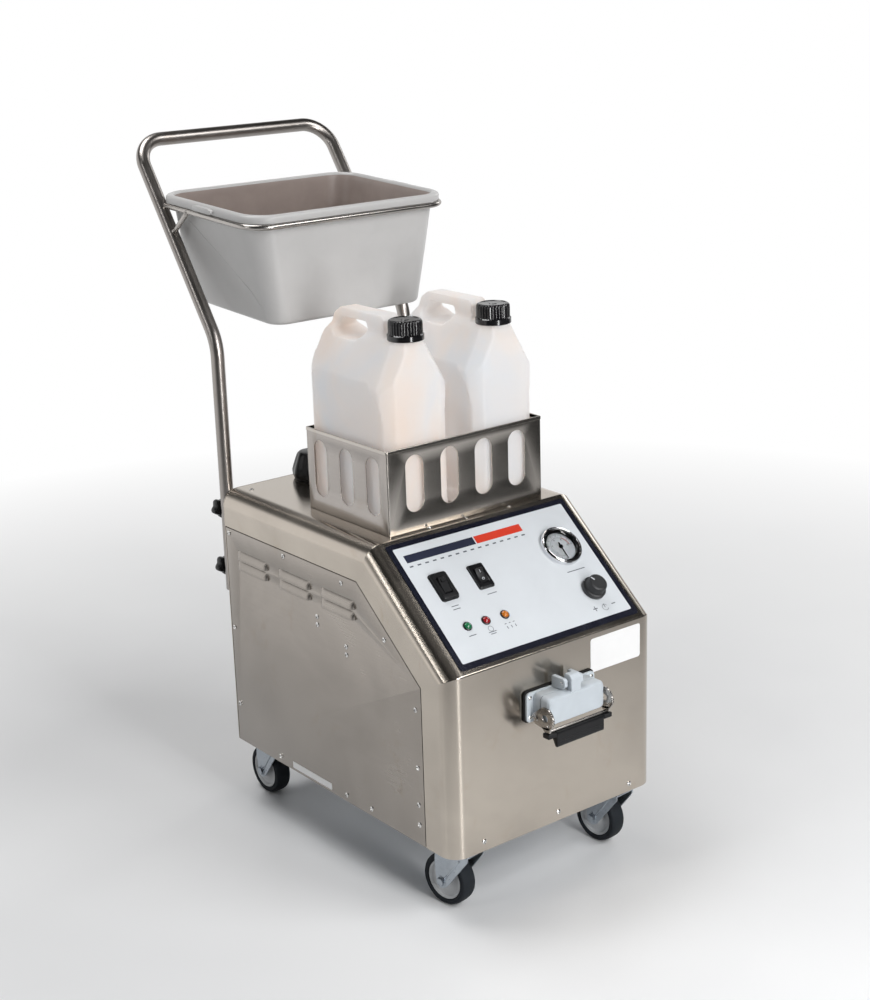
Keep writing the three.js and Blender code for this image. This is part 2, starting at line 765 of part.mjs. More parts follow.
const lidRing = (hx, hz, r, y) =>
  ringOf(hx, hz, r, y, 0, 0, 3).map((p) => V(p.x + INLET.x, p.z, p.y + INLET.z));
const lidBody = loft([
  lidRing(50, 19.5, 5, -21.8),
  lidRing(50, 19.5, 5, -31),
  lidRing(46.5, 17, 5, -37.5),
  lidRing(45, 16, 5, -38.4),
]);
const arm = polygon(
  rounded(
    [[-37, 291], [-37.5, 306], [-37.5, 320], [-33, 325], [-23, 325], [-21.5, 317], [-22.5, 304.8], [-30, 302.6], [-30, 291]],
    1.5,
    2,
  ),
);
add(
  "inlet_lid",
  cut(
    join(lidBody, inletX(arm, -8.5, 8.5)),
    bar(2.5, X, -30, 30, V(INLET.x, INLET.pinY, INLET.pinZ), 12),
    loft([lidRing(45, 14.5, 4, -18), lidRing(45, 14.5, 4, -34)]),
  ),
  CAST,
);

// Lever plate: a round hooked over the lid's side, drawn back to its pivot on the housing.
function leverPlate() {
  const round = (cy, cz, r, n) =>
    polygon(Array.from({ length: n }, (_, k) => [cy + r * Math.cos((2 * Math.PI * k) / n), cz + r * Math.sin((2 * Math.PI * k) / n)]));
  return [
    round(-36, 276, 16, 24),
    round(INLET.leverY, INLET.leverZ, 8.5, 16),
    polygon([[-36, 260.4], [INLET.leverY, 262.8], [INLET.leverY, 279.2], [-30, 290.6], [-36, 291.6]]),
    polygon([[-46, 266], [-28, 264], [-33, 257], [-44.5, 257]]),
  ];
}
const lever = (a, b) => join(...leverPlate().map((outline) => inletX(outline, a, b)));
add(
  "inlet_lever",
  join(lever(-54.5, -51), lever(51, 54.5), box(INLET.x - 54.5, INLET.x + 54.5, -41.5, -38.5, 257, 260)),
  [0xa89c8c, 0.9, 0.3],
);
const gripBlock = cut(
  join(
    box(INLET.x - 57.5, INLET.x + 57.5, -46, -33, 249.8, 256.5),
    box(INLET.x - 42, INLET.x + 42, -45.5, -41.9, 234.5, 261),
    box(INLET.x - 42, INLET.x + 42, -38.1, -33, 250, 261),
  ),
  box(INLET.x - 60, INLET.x + 60, -41.8, -38.2, 256, 262),
);
add("inlet_lever_grip", gripBlock, BLACK);

// --- casters ---
const casterPlate = join(
  box(-31, 31, -30, 30, 93.7, BOTTOM - GAP),
  bar(19, Z, 88.4, 94, V(0, 0, 0), 20),
);
const legShape = polygon([
  [-23, 88],
  [-23, 82],
  [15, 33],
  [21, 28.5],
  [29, 29],
  [33, 35],
  [36, 62],
  [35, 88],
]);
const fork = join(
  box(-18, 18, -23, 35, 85.6, 88.1),
  alongX(legShape, -18, -15.5),
  alongX(legShape, 15.5, 18),
  bar(4, X, -18, 18, V(0, TRAIL, WHEEL_R), 12),
  bar(6, X, -21, -17.5, V(0, TRAIL, WHEEL_R), 6),
  bar(6, X, 17.5, 21, V(0, TRAIL, WHEEL_R), 6),
);
const hub = turned(
  [[4.4, -14.5], [9, -14.5], [10, -9.5], [24, -8.5], [28, -11], [28, 11], [24, 8.5], [10, 9.5], [9, 14.5], [4.4, 14.5]],
  X,
  24,
);
const tyre = turned(
  [[28.3, -11.5], [33, -12.5], [36.2, -10.5], [37.5, -6], [37.5, 6], [36.2, 10.5], [33, 12.5], [28.3, 11.5]],
  X,
  28,
);
for (const { name, x, y, turn } of CASTERS) {
  const spin = new THREE.Matrix4().makeRotationZ(THREE.MathUtils.degToRad(-turn)).setPosition(x, y, 0);
  add(`caster_plate_${name}`, casterPlate.clone().translate(x, y, 0), ZINC);
  add(`caster_fork_${name}`, fork, ZINC, spin);
  add(`caster_wheel_${name}`, hub.clone().translate(0, TRAIL, WHEEL_R), GREY_PLASTIC, spin);
  add(`caster_tyre_${name}`, tyre.clone().translate(0, TRAIL, WHEEL_R), RUBBER, spin);
}

// --- inside the body ---
const BOILER = { y: 390, z: 222, r: 82, half: 140 };
const cradleShape = polygon([[300, FLOOR_TOP + GAP], [480, FLOOR_TOP + GAP], [480, 330], [300, 330]]);
cradleShape.holes.push(circlePath(BOILER.y, BOILER.z, BOILER.r + 0.6, 28));
add(
  "inner_frame",
  join(
    alongX(cradleShape, -112, -109),
    alongX(cradleShape, 109, 112),
    box(-150, 150, 300, 515, 329, 331),
    box(-112, 112, 300, 303, FLOOR_TOP + GAP, 130),
  ),
  ZINC,
);
const boilerProfile = [[0, -BOILER.half], [50, -BOILER.half + 6], [BOILER.r, -BOILER.half + 26]];
const boilerEnd = boilerProfile.map(([r, h]) => [r, -h]).reverse();
add(
  "boiler",
  turned([...boilerProfile, ...boilerEnd], X, 28).translate(0, BOILER.y, BOILER.z),
  [0xb5b8ba, 0.9, 0.35],
);
const TANK = { x: 145, y0: 305, y1: 518, z0: 331.3, z1: 468 };
add(
  "water_tank",
  cut(
    box(-TANK.x, TANK.x, TANK.y0, TANK.y1, TANK.z0, TANK.z1),
    box(-TANK.x + 3, TANK.x - 3, TANK.y0 + 3, TANK.y1 - 3, TANK.z0 + 3, TANK.z1 - 3),
    bar(16, Z, TANK.z1 - 10, TANK.z1 + 10, V(FILLER.x, FILLER.y, 0), 16),
  ),
  [0xd9dcdc, 0, 0.5],
);
add(
  "pump",
  join(
    box(-150, -70, 80, 200, FLOOR_TOP + GAP, 112),
    bar(28, Y, 90, 150, V(-110, 0, 138), 20),
    box(-132, -88, 148, 195, 111, 160),
  ),
  [0x8d7a55, 0.6, 0.4],
);
add(
  "electrical_box",
  join(box(50, 165, 70, 240, FLOOR_TOP + GAP, 200), box(60, 70, 239, 246, 120, 130)),
  [0x9fa3a6, 0, 0.5],
);
const pipeZ = BOILER.z + 58;
const steamPipe = bentPath([V(-20, 323, 276), V(-20, 120, 276), V(-20, 60, 300), V(-20, 2.5, 300)], 14, 4);
add("steam_pipe", sweep(steamPipe.map(({ p, t }) => ({ p, t })), 5, 0, 8), [0xb07a4a, 0.9, 0.35]);

export default group;
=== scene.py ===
from math import acos, atan2, cos, hypot, pi, radians, sin, sqrt, tan

import bmesh
import bpy
from mathutils import Matrix, Vector


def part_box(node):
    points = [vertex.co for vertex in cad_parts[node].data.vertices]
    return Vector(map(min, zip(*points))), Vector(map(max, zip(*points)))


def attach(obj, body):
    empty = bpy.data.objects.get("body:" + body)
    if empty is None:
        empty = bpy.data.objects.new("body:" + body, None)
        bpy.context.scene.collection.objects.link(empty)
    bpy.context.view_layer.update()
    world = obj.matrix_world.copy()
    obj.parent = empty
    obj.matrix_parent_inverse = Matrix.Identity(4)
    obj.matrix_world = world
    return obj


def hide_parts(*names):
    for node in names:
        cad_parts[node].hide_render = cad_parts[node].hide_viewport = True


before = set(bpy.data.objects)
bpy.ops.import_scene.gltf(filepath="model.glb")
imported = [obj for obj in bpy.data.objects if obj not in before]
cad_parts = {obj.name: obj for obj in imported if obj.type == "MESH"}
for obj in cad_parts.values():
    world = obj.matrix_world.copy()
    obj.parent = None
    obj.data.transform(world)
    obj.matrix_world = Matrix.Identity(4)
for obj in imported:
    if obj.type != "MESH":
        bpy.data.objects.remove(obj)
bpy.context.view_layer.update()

# Lengths below are in millimetres from the front face of the body, z from the floor.
MM = 0.001
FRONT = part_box("cover")[0].y / MM
W, D, BOTTOM, FRONT_TOP, TOP, RUN = 368, 524, 97, 355, 494, 168
BEND, SHEET = 25, 1.5
SIDES = ((-1, "left"), (1, "right"))
TWELFTH, EIGHTEENTH = 0.5236, 0.349             # of a turn
ANGLE = atan2(TOP - FRONT_TOP, RUN)
TILT = radians(2.9)


def at(x, y, z):
    return Matrix.Translation((x, y, z))


def frame_at(x, y, z, tilt=0.0, turn=0.0):
    return at(x, y, z) @ Matrix.Rotation(turn, 4, "Z") @ Matrix.Rotation(tilt, 4, "X")


SLOPE = frame_at(0, 0, FRONT_TOP, ANGLE)
BUCKET = frame_at(0, 548, 909.4, TILT)
TO_FRONT = Matrix(((1, 0, 0, 0), (0, 0, -1, 0), (0, 1, 0, 0), (0, 0, 0, 1)))      # (u, v, w) -> x, z, towards -Y
TO_LEFT = Matrix(((0, 0, -1, 0), (-1, 0, 0, 0), (0, 1, 0, 0), (0, 0, 0, 1)))      # (u, v, w) -> -y, z, towards -X
TO_RIGHT = Matrix(((0, 0, 1, 0), (1, 0, 0, 0), (0, 1, 0, 0), (0, 0, 0, 1)))       # (u, v, w) -> y, z, towards +X
TO_BACK = Matrix(((-1, 0, 0, 0), (0, 0, 1, 0), (0, 1, 0, 0), (0, 0, 0, 1)))       # (u, v, w) -> -x, z, towards +Y
LEFTWARD = Matrix(((0, 0, 1, 0), (-1, 0, 0, 0), (0, 1, 0, 0), (0, 0, 0, 1)))      # (u, v, w) -> -y, z, towards +X


def sideways(sx):
    """(u, v, w) -> y, z, and outwards on the left (sx = -1) or the right (sx = 1)."""
    return Matrix(((0, 0, sx, 0), (1, 0, 0, 0), (0, 1, 0, 0), (0, 0, 0, 1)))


# ---------------------------------------------------------------- shapes: (vertices, faces) in millimetres
def moved(part, matrix):
    verts, faces = part
    if matrix.to_3x3().determinant() < 0:
        faces = [tuple(reversed(f)) for f in faces]
    return [matrix @ Vector(v) for v in verts], faces


def joined(*parts):
    verts, faces = [], []
    for v, f in parts:
        faces += [tuple(i + len(verts) for i in face) for face in f]
        verts += [Vector(p) for p in v]
    return verts, faces


def loft(rings, caps=(True, True), around=False, closed=True):
    n = len(rings[0])
    verts = [Vector(p) for ring in rings for p in ring]
    faces = []
    rows = len(rings) if around else len(rings) - 1
    for k in range(rows):
        a, b = k * n, ((k + 1) % len(rings)) * n
        for i in range(n if closed else n - 1):
            j = (i + 1) % n
            faces.append((a + i, a + j, b + j, b + i))
    if not around and closed:
        if caps[0]:
            faces.append(tuple(reversed(range(n))))
        if caps[1]:
            faces.append(tuple(range((len(rings) - 1) * n, len(rings) * n)))
    return verts, faces


def lathe(profile, n=48, wave=None):
    """Turned about Z. A profile that doesn't start and end on the axis closes on itself."""
    rings = []
    for k, (r, h) in enumerate(profile):
        ring = []
        for i in range(n):
            t = 2 * pi * i / n
            rr = r + (wave(k, t, r) if wave else 0)
            ring.append((rr * cos(t), rr * sin(t), h))
        rings.append(ring)
    on_axis = profile[0][0] < 1e-6 or profile[-1][0] < 1e-6
    if on_axis:
        keep = [ring for ring, (r, _) in zip(rings, profile) if r > 1e-6]
        verts, faces = loft(keep, (False, False))
        last = len(keep) - 1
        if profile[0][0] < 1e-6:
            verts.append(Vector((0, 0, profile[0][1])))
            c = len(verts) - 1
            faces += [(c, (i + 1) % n, i) for i in range(n)]
        else:
            faces.append(tuple(reversed(range(n))))
        if profile[-1][0] < 1e-6:
            verts.append(Vector((0, 0, profile[-1][1])))
            c = len(verts) - 1
            faces += [(c, last * n + i, last * n + (i + 1) % n) for i in range(n)]
        else:
            faces.append(tuple(range(last * n, last * n + n)))
        return verts, faces
    return loft(rings, around=True)


def at_height(points, z):
    return [(x, y, z) for x, y in points]


def hexagon(r):
    return [(r * cos(pi / 3 * k), r * sin(pi / 3 * k)) for k in range(6)]


def rounded_rect(hx, hy, r, n=6, cx=0.0, cy=0.0):
    points = []
    for q, (sx, sy) in enumerate(((1, 1), (-1, 1), (-1, -1), (1, -1))):
        for i in range(n + 1):
            t = (q + i / n) * pi / 2
            points.append((cx + sx * (hx - r) + r * cos(t), cy + sy * (hy - r) + r * sin(t)))
    return points


def filleted(corners, radii, n=6, closed=True):
    out = []
    count = len(corners)
    for i, corner in enumerate(corners):
        if not closed and i in (0, count - 1):
            out.append(tuple(corner))
            continue
        r = radii[i] if isinstance(radii, (list, tuple)) else radii
        p = Vector(corner)
        u = (Vector(corners[i - 1]) - p).normalized()
        w = (Vector(corners[(i + 1) % count]) - p).normalized()
        half = acos(max(-1, min(1, u.dot(w)))) / 2
        if r <= 0 or abs(half - pi / 2) < 1e-4:
            out.append(tuple(corner))
            continue
        centre = p + (u + w).normalized() * (r / sin(half))
        a = p + u * (r / tan(half)) - centre
        b = p + w * (r / tan(half)) - centre
        turn = atan2(a.x * b.y - a.y * b.x, a.dot(b))
        for k in range(n + 1):
            t = turn * k / n
            c, s = cos(t), sin(t)
            out.append((centre.x + a.x * c - a.y * s, centre.y + a.x * s + a.y * c))
    return out


def prism(outline, a, b, edge=0.0):
    """Outline in (x, y), from z = a to b, with the rim broken by edge."""
    if not edge:
        return loft([at_height(outline, a), at_height(outline, b)])
    inner = inset(outline, edge)
    return loft([at_height(inner, a), at_height(outline, a + edge), at_height(outline, b - edge), at_height(inner, b)])


def inset(outline, by):
    """Each point moved in along its own normal; outline anticlockwise."""
    out = []
    n = len(outline)
    for i in range(n):
        a, p, b = Vector(outline[i - 1]), Vector(outline[i]), Vector(outline[(i + 1) % n])
        u, w = (p - a), (b - p)
        if u.length < 1e-6:
            u = w
        if w.length < 1e-6:
            w = u
        nu = Vector((-u.y, u.x)).normalized()
        nw = Vector((-w.y, w.x)).normalized()
        m = (nu + nw).normalized()
        out.append(tuple(p + m * (by / max(0.5, m.dot(nu)))))
    return out


def slab(x0, x1, y0, y1, z0, z1, edge=0.6, corner=1.5):
    """Block with rounded corners in plan and broken rims."""
    outline = rounded_rect((x1 - x0) / 2, (y1 - y0) / 2, corner, 3, (x0 + x1) / 2, (y0 + y1) / 2)
    return prism(outline, z0, z1, edge)


def route(corners, radii, per_bend=12):
    """Points along a path whose inner corners are arcs."""
    points = [Vector(corners[0])]
    for i in range(1, len(corners) - 1):
        p = Vector(corners[i])
        a = (p - Vector(corners[i - 1])).normalized()
        b = (Vector(corners[i + 1]) - p).normalized()
        r = radii[i - 1] if isinstance(radii, (list, tuple)) else radii
        angle = a.angle(b)
        axis = a.cross(b).normalized()
        start = p - a * (r * tan(angle / 2))
        side = axis.cross(a)
        for k in range(per_bend + 1):
            turn = Matrix.Rotation(angle * k / per_bend, 3, axis)
            points.append(start + side * r - turn @ (side * r))
    points.append(Vector(corners[-1]))
    return points


def tube(points, radius, n=24, bore=0.0, ends=0.0):
    """Round tube along points; a bore leaves it open, ends rounds its tips."""
    tangents = []
    for i, p in enumerate(points):
        before = points[max(0, i - 1)]
        after = points[min(len(points) - 1, i + 1)]
        tangents.append((after - before).normalized())
    side = tangents[0].orthogonal().normalized()
    frames = []
    for p, t in zip(points, tangents):
        side = (side - t * side.dot(t)).normalized()
        frames.append((p, side, t.cross(side)))

    def ring(f, r, along=None):
        p, s, u = f
        p = p if along is None else p + along
        return [p + s * (r * cos(2 * pi * i / n)) + u * (r * sin(2 * pi * i / n)) for i in range(n)]

    rings = [ring(f, radius) for f in frames]
    if ends:
        first, last, rims = -tangents[0] * ends, tangents[-1] * ends, ((ends, 1), (ends * 0.3, 0.7))
        rings = [ring(frames[0], radius - less, first * out) for less, out in rims] + rings
        rings += [ring(frames[-1], radius - less, last * out) for less, out in reversed(rims)]
    if bore:
        rings += [ring(f, bore) for f in reversed(frames)]
        return loft(rings, around=True)
    return loft(rings)


def throwaway(data, modify=None):
    """Mesh that an object made of data evaluates to. The object and its data are removed again."""
    holder = bpy.data.objects.new("holder", data)
    bpy.context.scene.collection.objects.link(holder)
    if modify:
        modify(holder)
    mesh = bpy.data.meshes.new_from_object(holder.evaluated_get(bpy.context.evaluated_depsgraph_get()))
    bpy.data.objects.remove(holder)
    kind = bpy.data.meshes if isinstance(data, bpy.types.Mesh) else bpy.data.curves
    kind.remove(data)
    return mesh


def part_of(mesh, place):
    """A mesh as (vertices, faces), each vertex put through place. The mesh is removed."""
    part = [place(v.co) for v in mesh.vertices], [tuple(p.vertices) for p in mesh.polygons]
    bpy.data.meshes.remove(mesh)
    return part


def out_facing(mesh):
    """Normals made to point out."""
    bm = bmesh.new()
    bm.from_mesh(mesh)
    bmesh.ops.recalc_face_normals(bm, faces=bm.faces)
    bm.to_mesh(mesh)
    bm.free()


def plate(outer, holes, thickness, edge=0.25):
    """Flat plate in (x, y) with holes, z from 0 to thickness, its rims broken by edge."""
    curve = bpy.data.curves.new("outline", "CURVE")
    curve.dimensions = "2D"
    curve.fill_mode = "BOTH"
    curve.extrude = thickness / 2 - edge
    curve.bevel_depth = edge
    curve.bevel_resolution = 1
    curve.offset = -edge
    for loop in [outer, *holes]:
        spline = curve.splines.new("POLY")
        spline.points.add(len(loop) - 1)
        for point, (x, y) in zip(spline.points, loop):
            point.co = (x, y, 0, 1)
        spline.use_cyclic_u = True
    mesh = throwaway(curve)
    bm = bmesh.new()
    bm.from_mesh(mesh)
    bmesh.ops.remove_doubles(bm, verts=bm.verts, dist=1e-3)
    bmesh.ops.recalc_face_normals(bm, faces=bm.faces)
    bm.verts.index_update()
    verts = [Vector((v.co.x, v.co.y, v.co.z + thickness / 2)) for v in bm.verts]
    faces = [tuple(v.index for v in f.verts) for f in bm.faces]
    bm.free()
    bpy.data.meshes.remove(mesh)
    return verts, faces


def sheet_grid(nu, nv, point):
    verts = [Vector(point(i / nu, j / nv)) for j in range(nv + 1) for i in range(nu + 1)]
    faces = []
    for j in range(nv):
        for i in range(nu):
            a = j * (nu + 1) + i
            faces.append((a, a + 1, a + nu + 2, a + nu + 1))
    return verts, faces


def to_mesh(name, part, matrix=None):
    verts, faces = part
    matrix = matrix or Matrix.Identity(4)
    shift = Vector((0, FRONT, 0))
    mesh = bpy.data.meshes.new(name)
    mesh.from_pydata([(matrix @ Vector(v) + shift) * MM for v in verts], [], faces)
    if matrix.to_3x3().determinant() < 0:
        mesh.flip_normals()
    mesh.validate()
    return mesh


def make(name, part, look, body, replaces=(), matrix=None, angle=32, weighted=False, fix=True):
    """A finished piece: smooth with sharp edges over angle, riding on body."""
    mesh = to_mesh(name, part, matrix)
    bm = bmesh.new()
    bm.from_mesh(mesh)
    if fix:
        bmesh.ops.recalc_face_normals(bm, faces=bm.faces)
    limit = radians(angle)
    for edge in bm.edges:
        edge.smooth = len(edge.link_faces) == 2 and edge.calc_face_angle(0) < limit
    for face in bm.faces:
        face.smooth = True
    bm.to_mesh(mesh)
    bm.free()
    piece = bpy.data.objects.new(name, mesh)
    bpy.context.scene.collection.objects.link(piece)
    for one in look if isinstance(look, (list, tuple)) else [look]:
        mesh.materials.append(one)
    if weighted:
        piece.modifiers.new("normals", "WEIGHTED_NORMAL").keep_sharp = True
    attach(piece, body)
    if replaces:
        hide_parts(*([replaces] if isinstance(replaces, str) else replaces))
    return piece


def boolean(base, tool, operation):
    """Closed parts joined, cut or met; base and tool are (vertices, faces)."""
    a, b = to_mesh("base", base), to_mesh("tool", tool)
    out_facing(a)
    out_facing(b)
    other = bpy.data.objects.new("tool", b)
    bpy.context.scene.collection.objects.link(other)

    def modify(holder):
        step = holder.modifiers.new("step", "BOOLEAN")
        step.operation = operation
        step.object = other
        step.solver = "EXACT"

    mesh = throwaway(a, modify)
    bpy.data.objects.remove(other)
    bpy.data.meshes.remove(b)
    shift = Vector((0, FRONT, 0))
    return part_of(mesh, lambda co: co / MM - shift)


# ---------------------------------------------------------------- materials
class Nodes:
    """A node tree, and the kinds of node that the materials and the world share."""

    def __init__(self, tree):
        self.tree = tree

    def node(self, kind, **settings):
        made = self.tree.nodes.new("ShaderNode" + kind)
        for key, value in settings.items():
            setattr(made, key, value)
        return made

    def feed(self, pairs):
        """Each socket takes a link or a constant."""
        for socket, value in pairs:
            if isinstance(value, bpy.types.NodeSocket):
                self.link(value, socket)
            else:
                socket.default_value = value

    def link(self, a, b):
        self.tree.links.new(a, b)
        return self

    def span(self, fac, low, high, start=0.3, end=0.7, kind="LINEAR"):
        node = self.node("MapRange", interpolation_type=kind)
        for key, value in (("From Min", start), ("From Max", end), ("To Min", low), ("To Max", high)):
            node.inputs[key].default_value = value
        self.link(fac, node.inputs["Value"])
        return node.outputs["Result"]

    def add(self, a, b, kind="ADD"):
        node = self.node("Math", operation=kind)
        self.feed(zip(node.inputs, (a, b)))
        return node.outputs[0]


class Look(Nodes):
    """A Principled material whose inputs are fed by a few nodes."""

    def __init__(self, name, **values):
        self.mat = bpy.data.materials.new(name)
        self.mat.use_nodes = True
        super().__init__(self.mat.node_tree)
        self.bsdf = next(n for n in self.tree.nodes if n.type == "BSDF_PRINCIPLED")
        self.coord = self.node("TexCoord").outputs["Object"]
        for key, value in values.items():
            self.bsdf.inputs[key.replace("_", " ")].default_value = value

    def noise(self, scale, detail=3.0, rough=0.55, distort=0.0):
        mapping = self.node("Mapping")
        mapping.inputs["Scale"].default_value = scale if isinstance(scale, (list, tuple)) else (scale,) * 3
        node = self.node("TexNoise")
        for key, value in (("Scale", 1.0), ("Detail", detail), ("Roughness", rough), ("Distortion", distort)):
            node.inputs[key].default_value = value
        self.link(self.coord, mapping.inputs["Vector"]).link(mapping.outputs["Vector"], node.inputs["Vector"])
        return node.outputs["Fac"]

    def ramp(self, fac, stops):
        node = self.node("ValToRGB")
        elements = node.color_ramp.elements
        while len(elements) < len(stops):
            elements.new(0.5)
        for element, (spot, color) in zip(elements, stops):
            element.position = spot
            element.color = (*color, 1) if len(color) == 3 else color
        self.link(fac, node.inputs["Fac"])
        return node.outputs["Color"]

    def mix(self, a, b, fac, kind="MIX"):
        node = self.node("Mix", data_type="RGBA", blend_type=kind)
        self.feed(((node.inputs[6], a), (node.inputs[7], b), (node.inputs[0], fac)))
        return node.outputs[2]

    def bump(self, height, strength, distance):
        node = self.node("Bump")
        node.inputs["Strength"].default_value = strength
        node.inputs["Distance"].default_value = distance
        self.link(height, node.inputs["Height"]).link(node.outputs["Normal"], self.bsdf.inputs["Normal"])
        return self

    def color(self, socket):
        return self.link(socket, self.bsdf.inputs["Base Color"])

    def rough(self, socket):
        return self.link(socket, self.bsdf.inputs["Roughness"])


def tone(color, gain):
    return tuple(min(1.0, c * gain) for c in color)


def brushed(name, color, rough, grain, along=None, anisotropy=0.6, stain=0.12):
    """Brushed stainless: long scratches, soft clouds and a few stains. grain is the texture scale along x, y, z,
    and along is the way the brushing runs, square to which the highlights spread."""
    look = Look(name, Metallic=1.0, Anisotropic=anisotropy if along else 0.0)
    scratch = look.noise(grain, 4, 0.7)
    cloud = look.noise(7.0, 4, 0.6, 0.6)
    blotch = look.noise((15, 15, 11), 5, 0.7, 1.2)
    base = look.ramp(cloud, [(0.3, tone(color, 1 - stain)), (0.55, color), (0.75, tone(color, 1 + stain * 0.6))])
    warm = (color[0] * 0.84, color[1] * 0.75, color[2] * 0.64)
    base = look.mix(base, (*warm, 1), look.span(blotch, 0.0, 0.6, 0.58, 0.82))
    base = look.mix(base, look.ramp(scratch, [(0.3, (0.88,) * 3), (0.7, (1.0,) * 3)]), 0.4, "MULTIPLY")
    look.color(base)
    look.rough(look.add(look.span(cloud, rough * 0.85, rough * 1.15), look.span(scratch, -0.010, 0.014)))
    if along:
        cross = look.node("VectorMath", operation="CROSS_PRODUCT")
        look.feed(((cross.inputs[0], look.node("NewGeometry").outputs["Normal"]), (cross.inputs[1], along)))
        unit = look.node("VectorMath", operation="NORMALIZE")
        look.link(cross.outputs[0], unit.inputs[0]).link(unit.outputs[0], look.bsdf.inputs["Tangent"])
    return look.mat


def moulded(name, color, rough, grain=900.0, strength=0.12, vary=0.08, spec=0.5):
    """Moulded plastic or rubber: fine texture, slight mottling, scuffs in the gloss."""
    look = Look(name, Specular_IOR_Level=spec)
    fine = look.noise(grain, 2, 0.6)
    cloud = look.noise(22.0, 4, 0.6, 0.4)
    look.color(look.ramp(cloud, [(0.3, tone(color, 1 - vary)), (0.7, tone(color, 1 + vary))]))
    look.rough(look.add(look.span(cloud, rough * 0.9, rough * 1.12), look.span(fine, -0.04, 0.04)))
    look.bump(fine, strength, 0.0001)
    return look.mat


def plated(name, color, rough, vary=0.12):
    """Zinc plating: bluish spangle over pressed steel."""
    look = Look(name, Metallic=1.0)
    spangle = look.noise(160.0, 3, 0.6, 0.8)
    cloud = look.noise(30.0, 4, 0.6)
    base = look.ramp(cloud, [(0.3, tone(color, 1 - vary)), (0.7, tone(color, 1 + vary))])
    look.color(look.mix(base, look.ramp(spangle, [(0.35, (0.8, 0.82, 0.86)), (0.65, (1, 1, 1))]), 0.5, "MULTIPLY"))
    look.rough(look.span(spangle, rough * 0.8, rough * 1.2))
    look.bump(spangle, 0.06, 0.0002)
    return look.mat


# Brushing runs a touch off the axis, so that no face stands exactly square to it.
ALONG_X, ALONG_Y = (1, 0.06, 0.03), (0.06, 1, 0.03)
STEEL = brushed("steel_sheet", (0.56, 0.505, 0.44), 0.21, (2, 900, 900), ALONG_X)
# The side sheets take a darker copy of the sheet steel, brushed along y; the darker colour is painted shade.
STEEL_SIDE_PAINTED_SHADE = brushed("steel_side_painted_shade", (0.375, 0.343, 0.31), 0.24, (1, 2, 500), ALONG_Y)
# The tray is one steel in two tones: a lighter copy for its front, back, floor and rim is painted light, and a darker
# copy for its side walls is painted shade.
TRAY_STEEL_PAINTED_LIGHT = brushed("steel_tray_painted_light", (0.54, 0.505, 0.465), 0.22, (3, 700, 700), ALONG_X, 0.5, 0.10)
TRAY_STEEL_PAINTED_SHADE = brushed("steel_tray_side_painted_shade", (0.42, 0.39, 0.365), 0.22, (2, 3, 500), ALONG_Y, 0.5, 0.10)
STEEL_TUBE = brushed("steel_tube", (0.36, 0.335, 0.315), 0.30, (60, 60, 60), None, 0.0, 0.06)
STEEL_WIRE = brushed("steel_wire", (0.46, 0.435, 0.41), 0.26, (90, 90, 90), None, 0.0, 0.05)
SCREW = plated("screw_steel", (0.78, 0.77, 0.75), 0.2, 0.06)
CHROME = plated("chrome", (0.80, 0.80, 0.81), 0.10, 0.03)
ZINC = plated("zinc", (0.42, 0.455, 0.49), 0.32)
BLACK = moulded("black_plastic", (0.008, 0.008, 0.009), 0.34, 1200, 0.10, 0.2, 0.3)
BLACK_GLOSS = moulded("black_gloss", (0.008, 0.008, 0.009), 0.16, 400, 0.03, 0.2, 0.6)
RUBBER = moulded("black_rubber", (0.010, 0.010, 0.011), 0.62, 1500, 0.25, 0.25, 0.2)
KNOB = moulded("knob_grey", (0.016, 0.0165, 0.018), 0.40, 1100, 0.15, 0.15)
CAST = moulded("cast_grey", (0.50, 0.545, 0.585), 0.42, 520, 0.22, 0.05, 0.5)
TYRE = moulded("tyre_grey", (0.016, 0.019, 0.023), 0.66, 700, 0.22, 0.15, 0.14)
HUB = moulded("hub_grey", (0.44, 0.45, 0.46), 0.45, 800, 0.12, 0.06)
BUCKET_GREY = moulded("bucket_grey", (0.52, 0.515, 0.51), 0.36, 650, 0.10, 0.03, 0.45)
# The bucket's inside takes a darker, browner copy of its grey plastic: painted shade in its hollow.
BUCKET_INSIDE_PAINTED_SHADE = moulded("bucket_inside_painted_shade", (0.33, 0.275, 0.25), 0.38, 650, 0.10, 0.08, 0.45)
LABEL = moulded("label_film", (0.62, 0.65, 0.68), 0.33, 1500, 0.05, 0.02, 0.45)
BORDER = moulded("label_border", (0.006, 0.007, 0.016), 0.25, 1500, 0.05, 0.1, 0.5)
STICKER = moulded("sticker_white", (0.80, 0.80, 0.80), 0.38, 1500, 0.04, 0.02, 0.5)
INK = moulded("ink_grey", (0.10, 0.11, 0.13), 0.5, 1500, 0.02, 0.1, 0.3)
INK_RED = moulded("ink_red", (0.60, 0.035, 0.012), 0.45, 1500, 0.02, 0.05, 0.3)
INK_NAVY = moulded("ink_navy", (0.012, 0.016, 0.040), 0.45, 1500, 0.02, 0.1, 0.3)
DIAL = moulded("dial_white", (0.74, 0.76, 0.79), 0.5, 1500, 0.02, 0.02, 0.3)
TANK = moulded("tank_plastic", (0.66, 0.68, 0.68), 0.45, 700, 0.1, 0.05)
BOX_GREY = moulded("box_grey", (0.34, 0.36, 0.38), 0.5, 900, 0.15, 0.06)
BOILER = brushed("boiler_steel", (0.50, 0.50, 0.51), 0.35, (300, 4, 300), ALONG_Y, 0.3)
COPPER = plated("copper", (0.72, 0.42, 0.26), 0.3)
PUMP = plated("pump_metal", (0.42, 0.36, 0.27), 0.4)


def lamp_look(name, color):
    look = Look(name, Roughness=0.12, Transmission_Weight=0.35, IOR=1.49, Coat_Weight=0.6,
                Emission_Color=(*color, 1), Emission_Strength=0.12)
    cell = look.noise(900.0, 2, 0.5)
    look.color(look.ramp(cell, [(0.35, tone(color, 0.55)), (0.65, tone(color, 1.25))]))
    look.bump(cell, 0.25, 0.0003)
    return look.mat


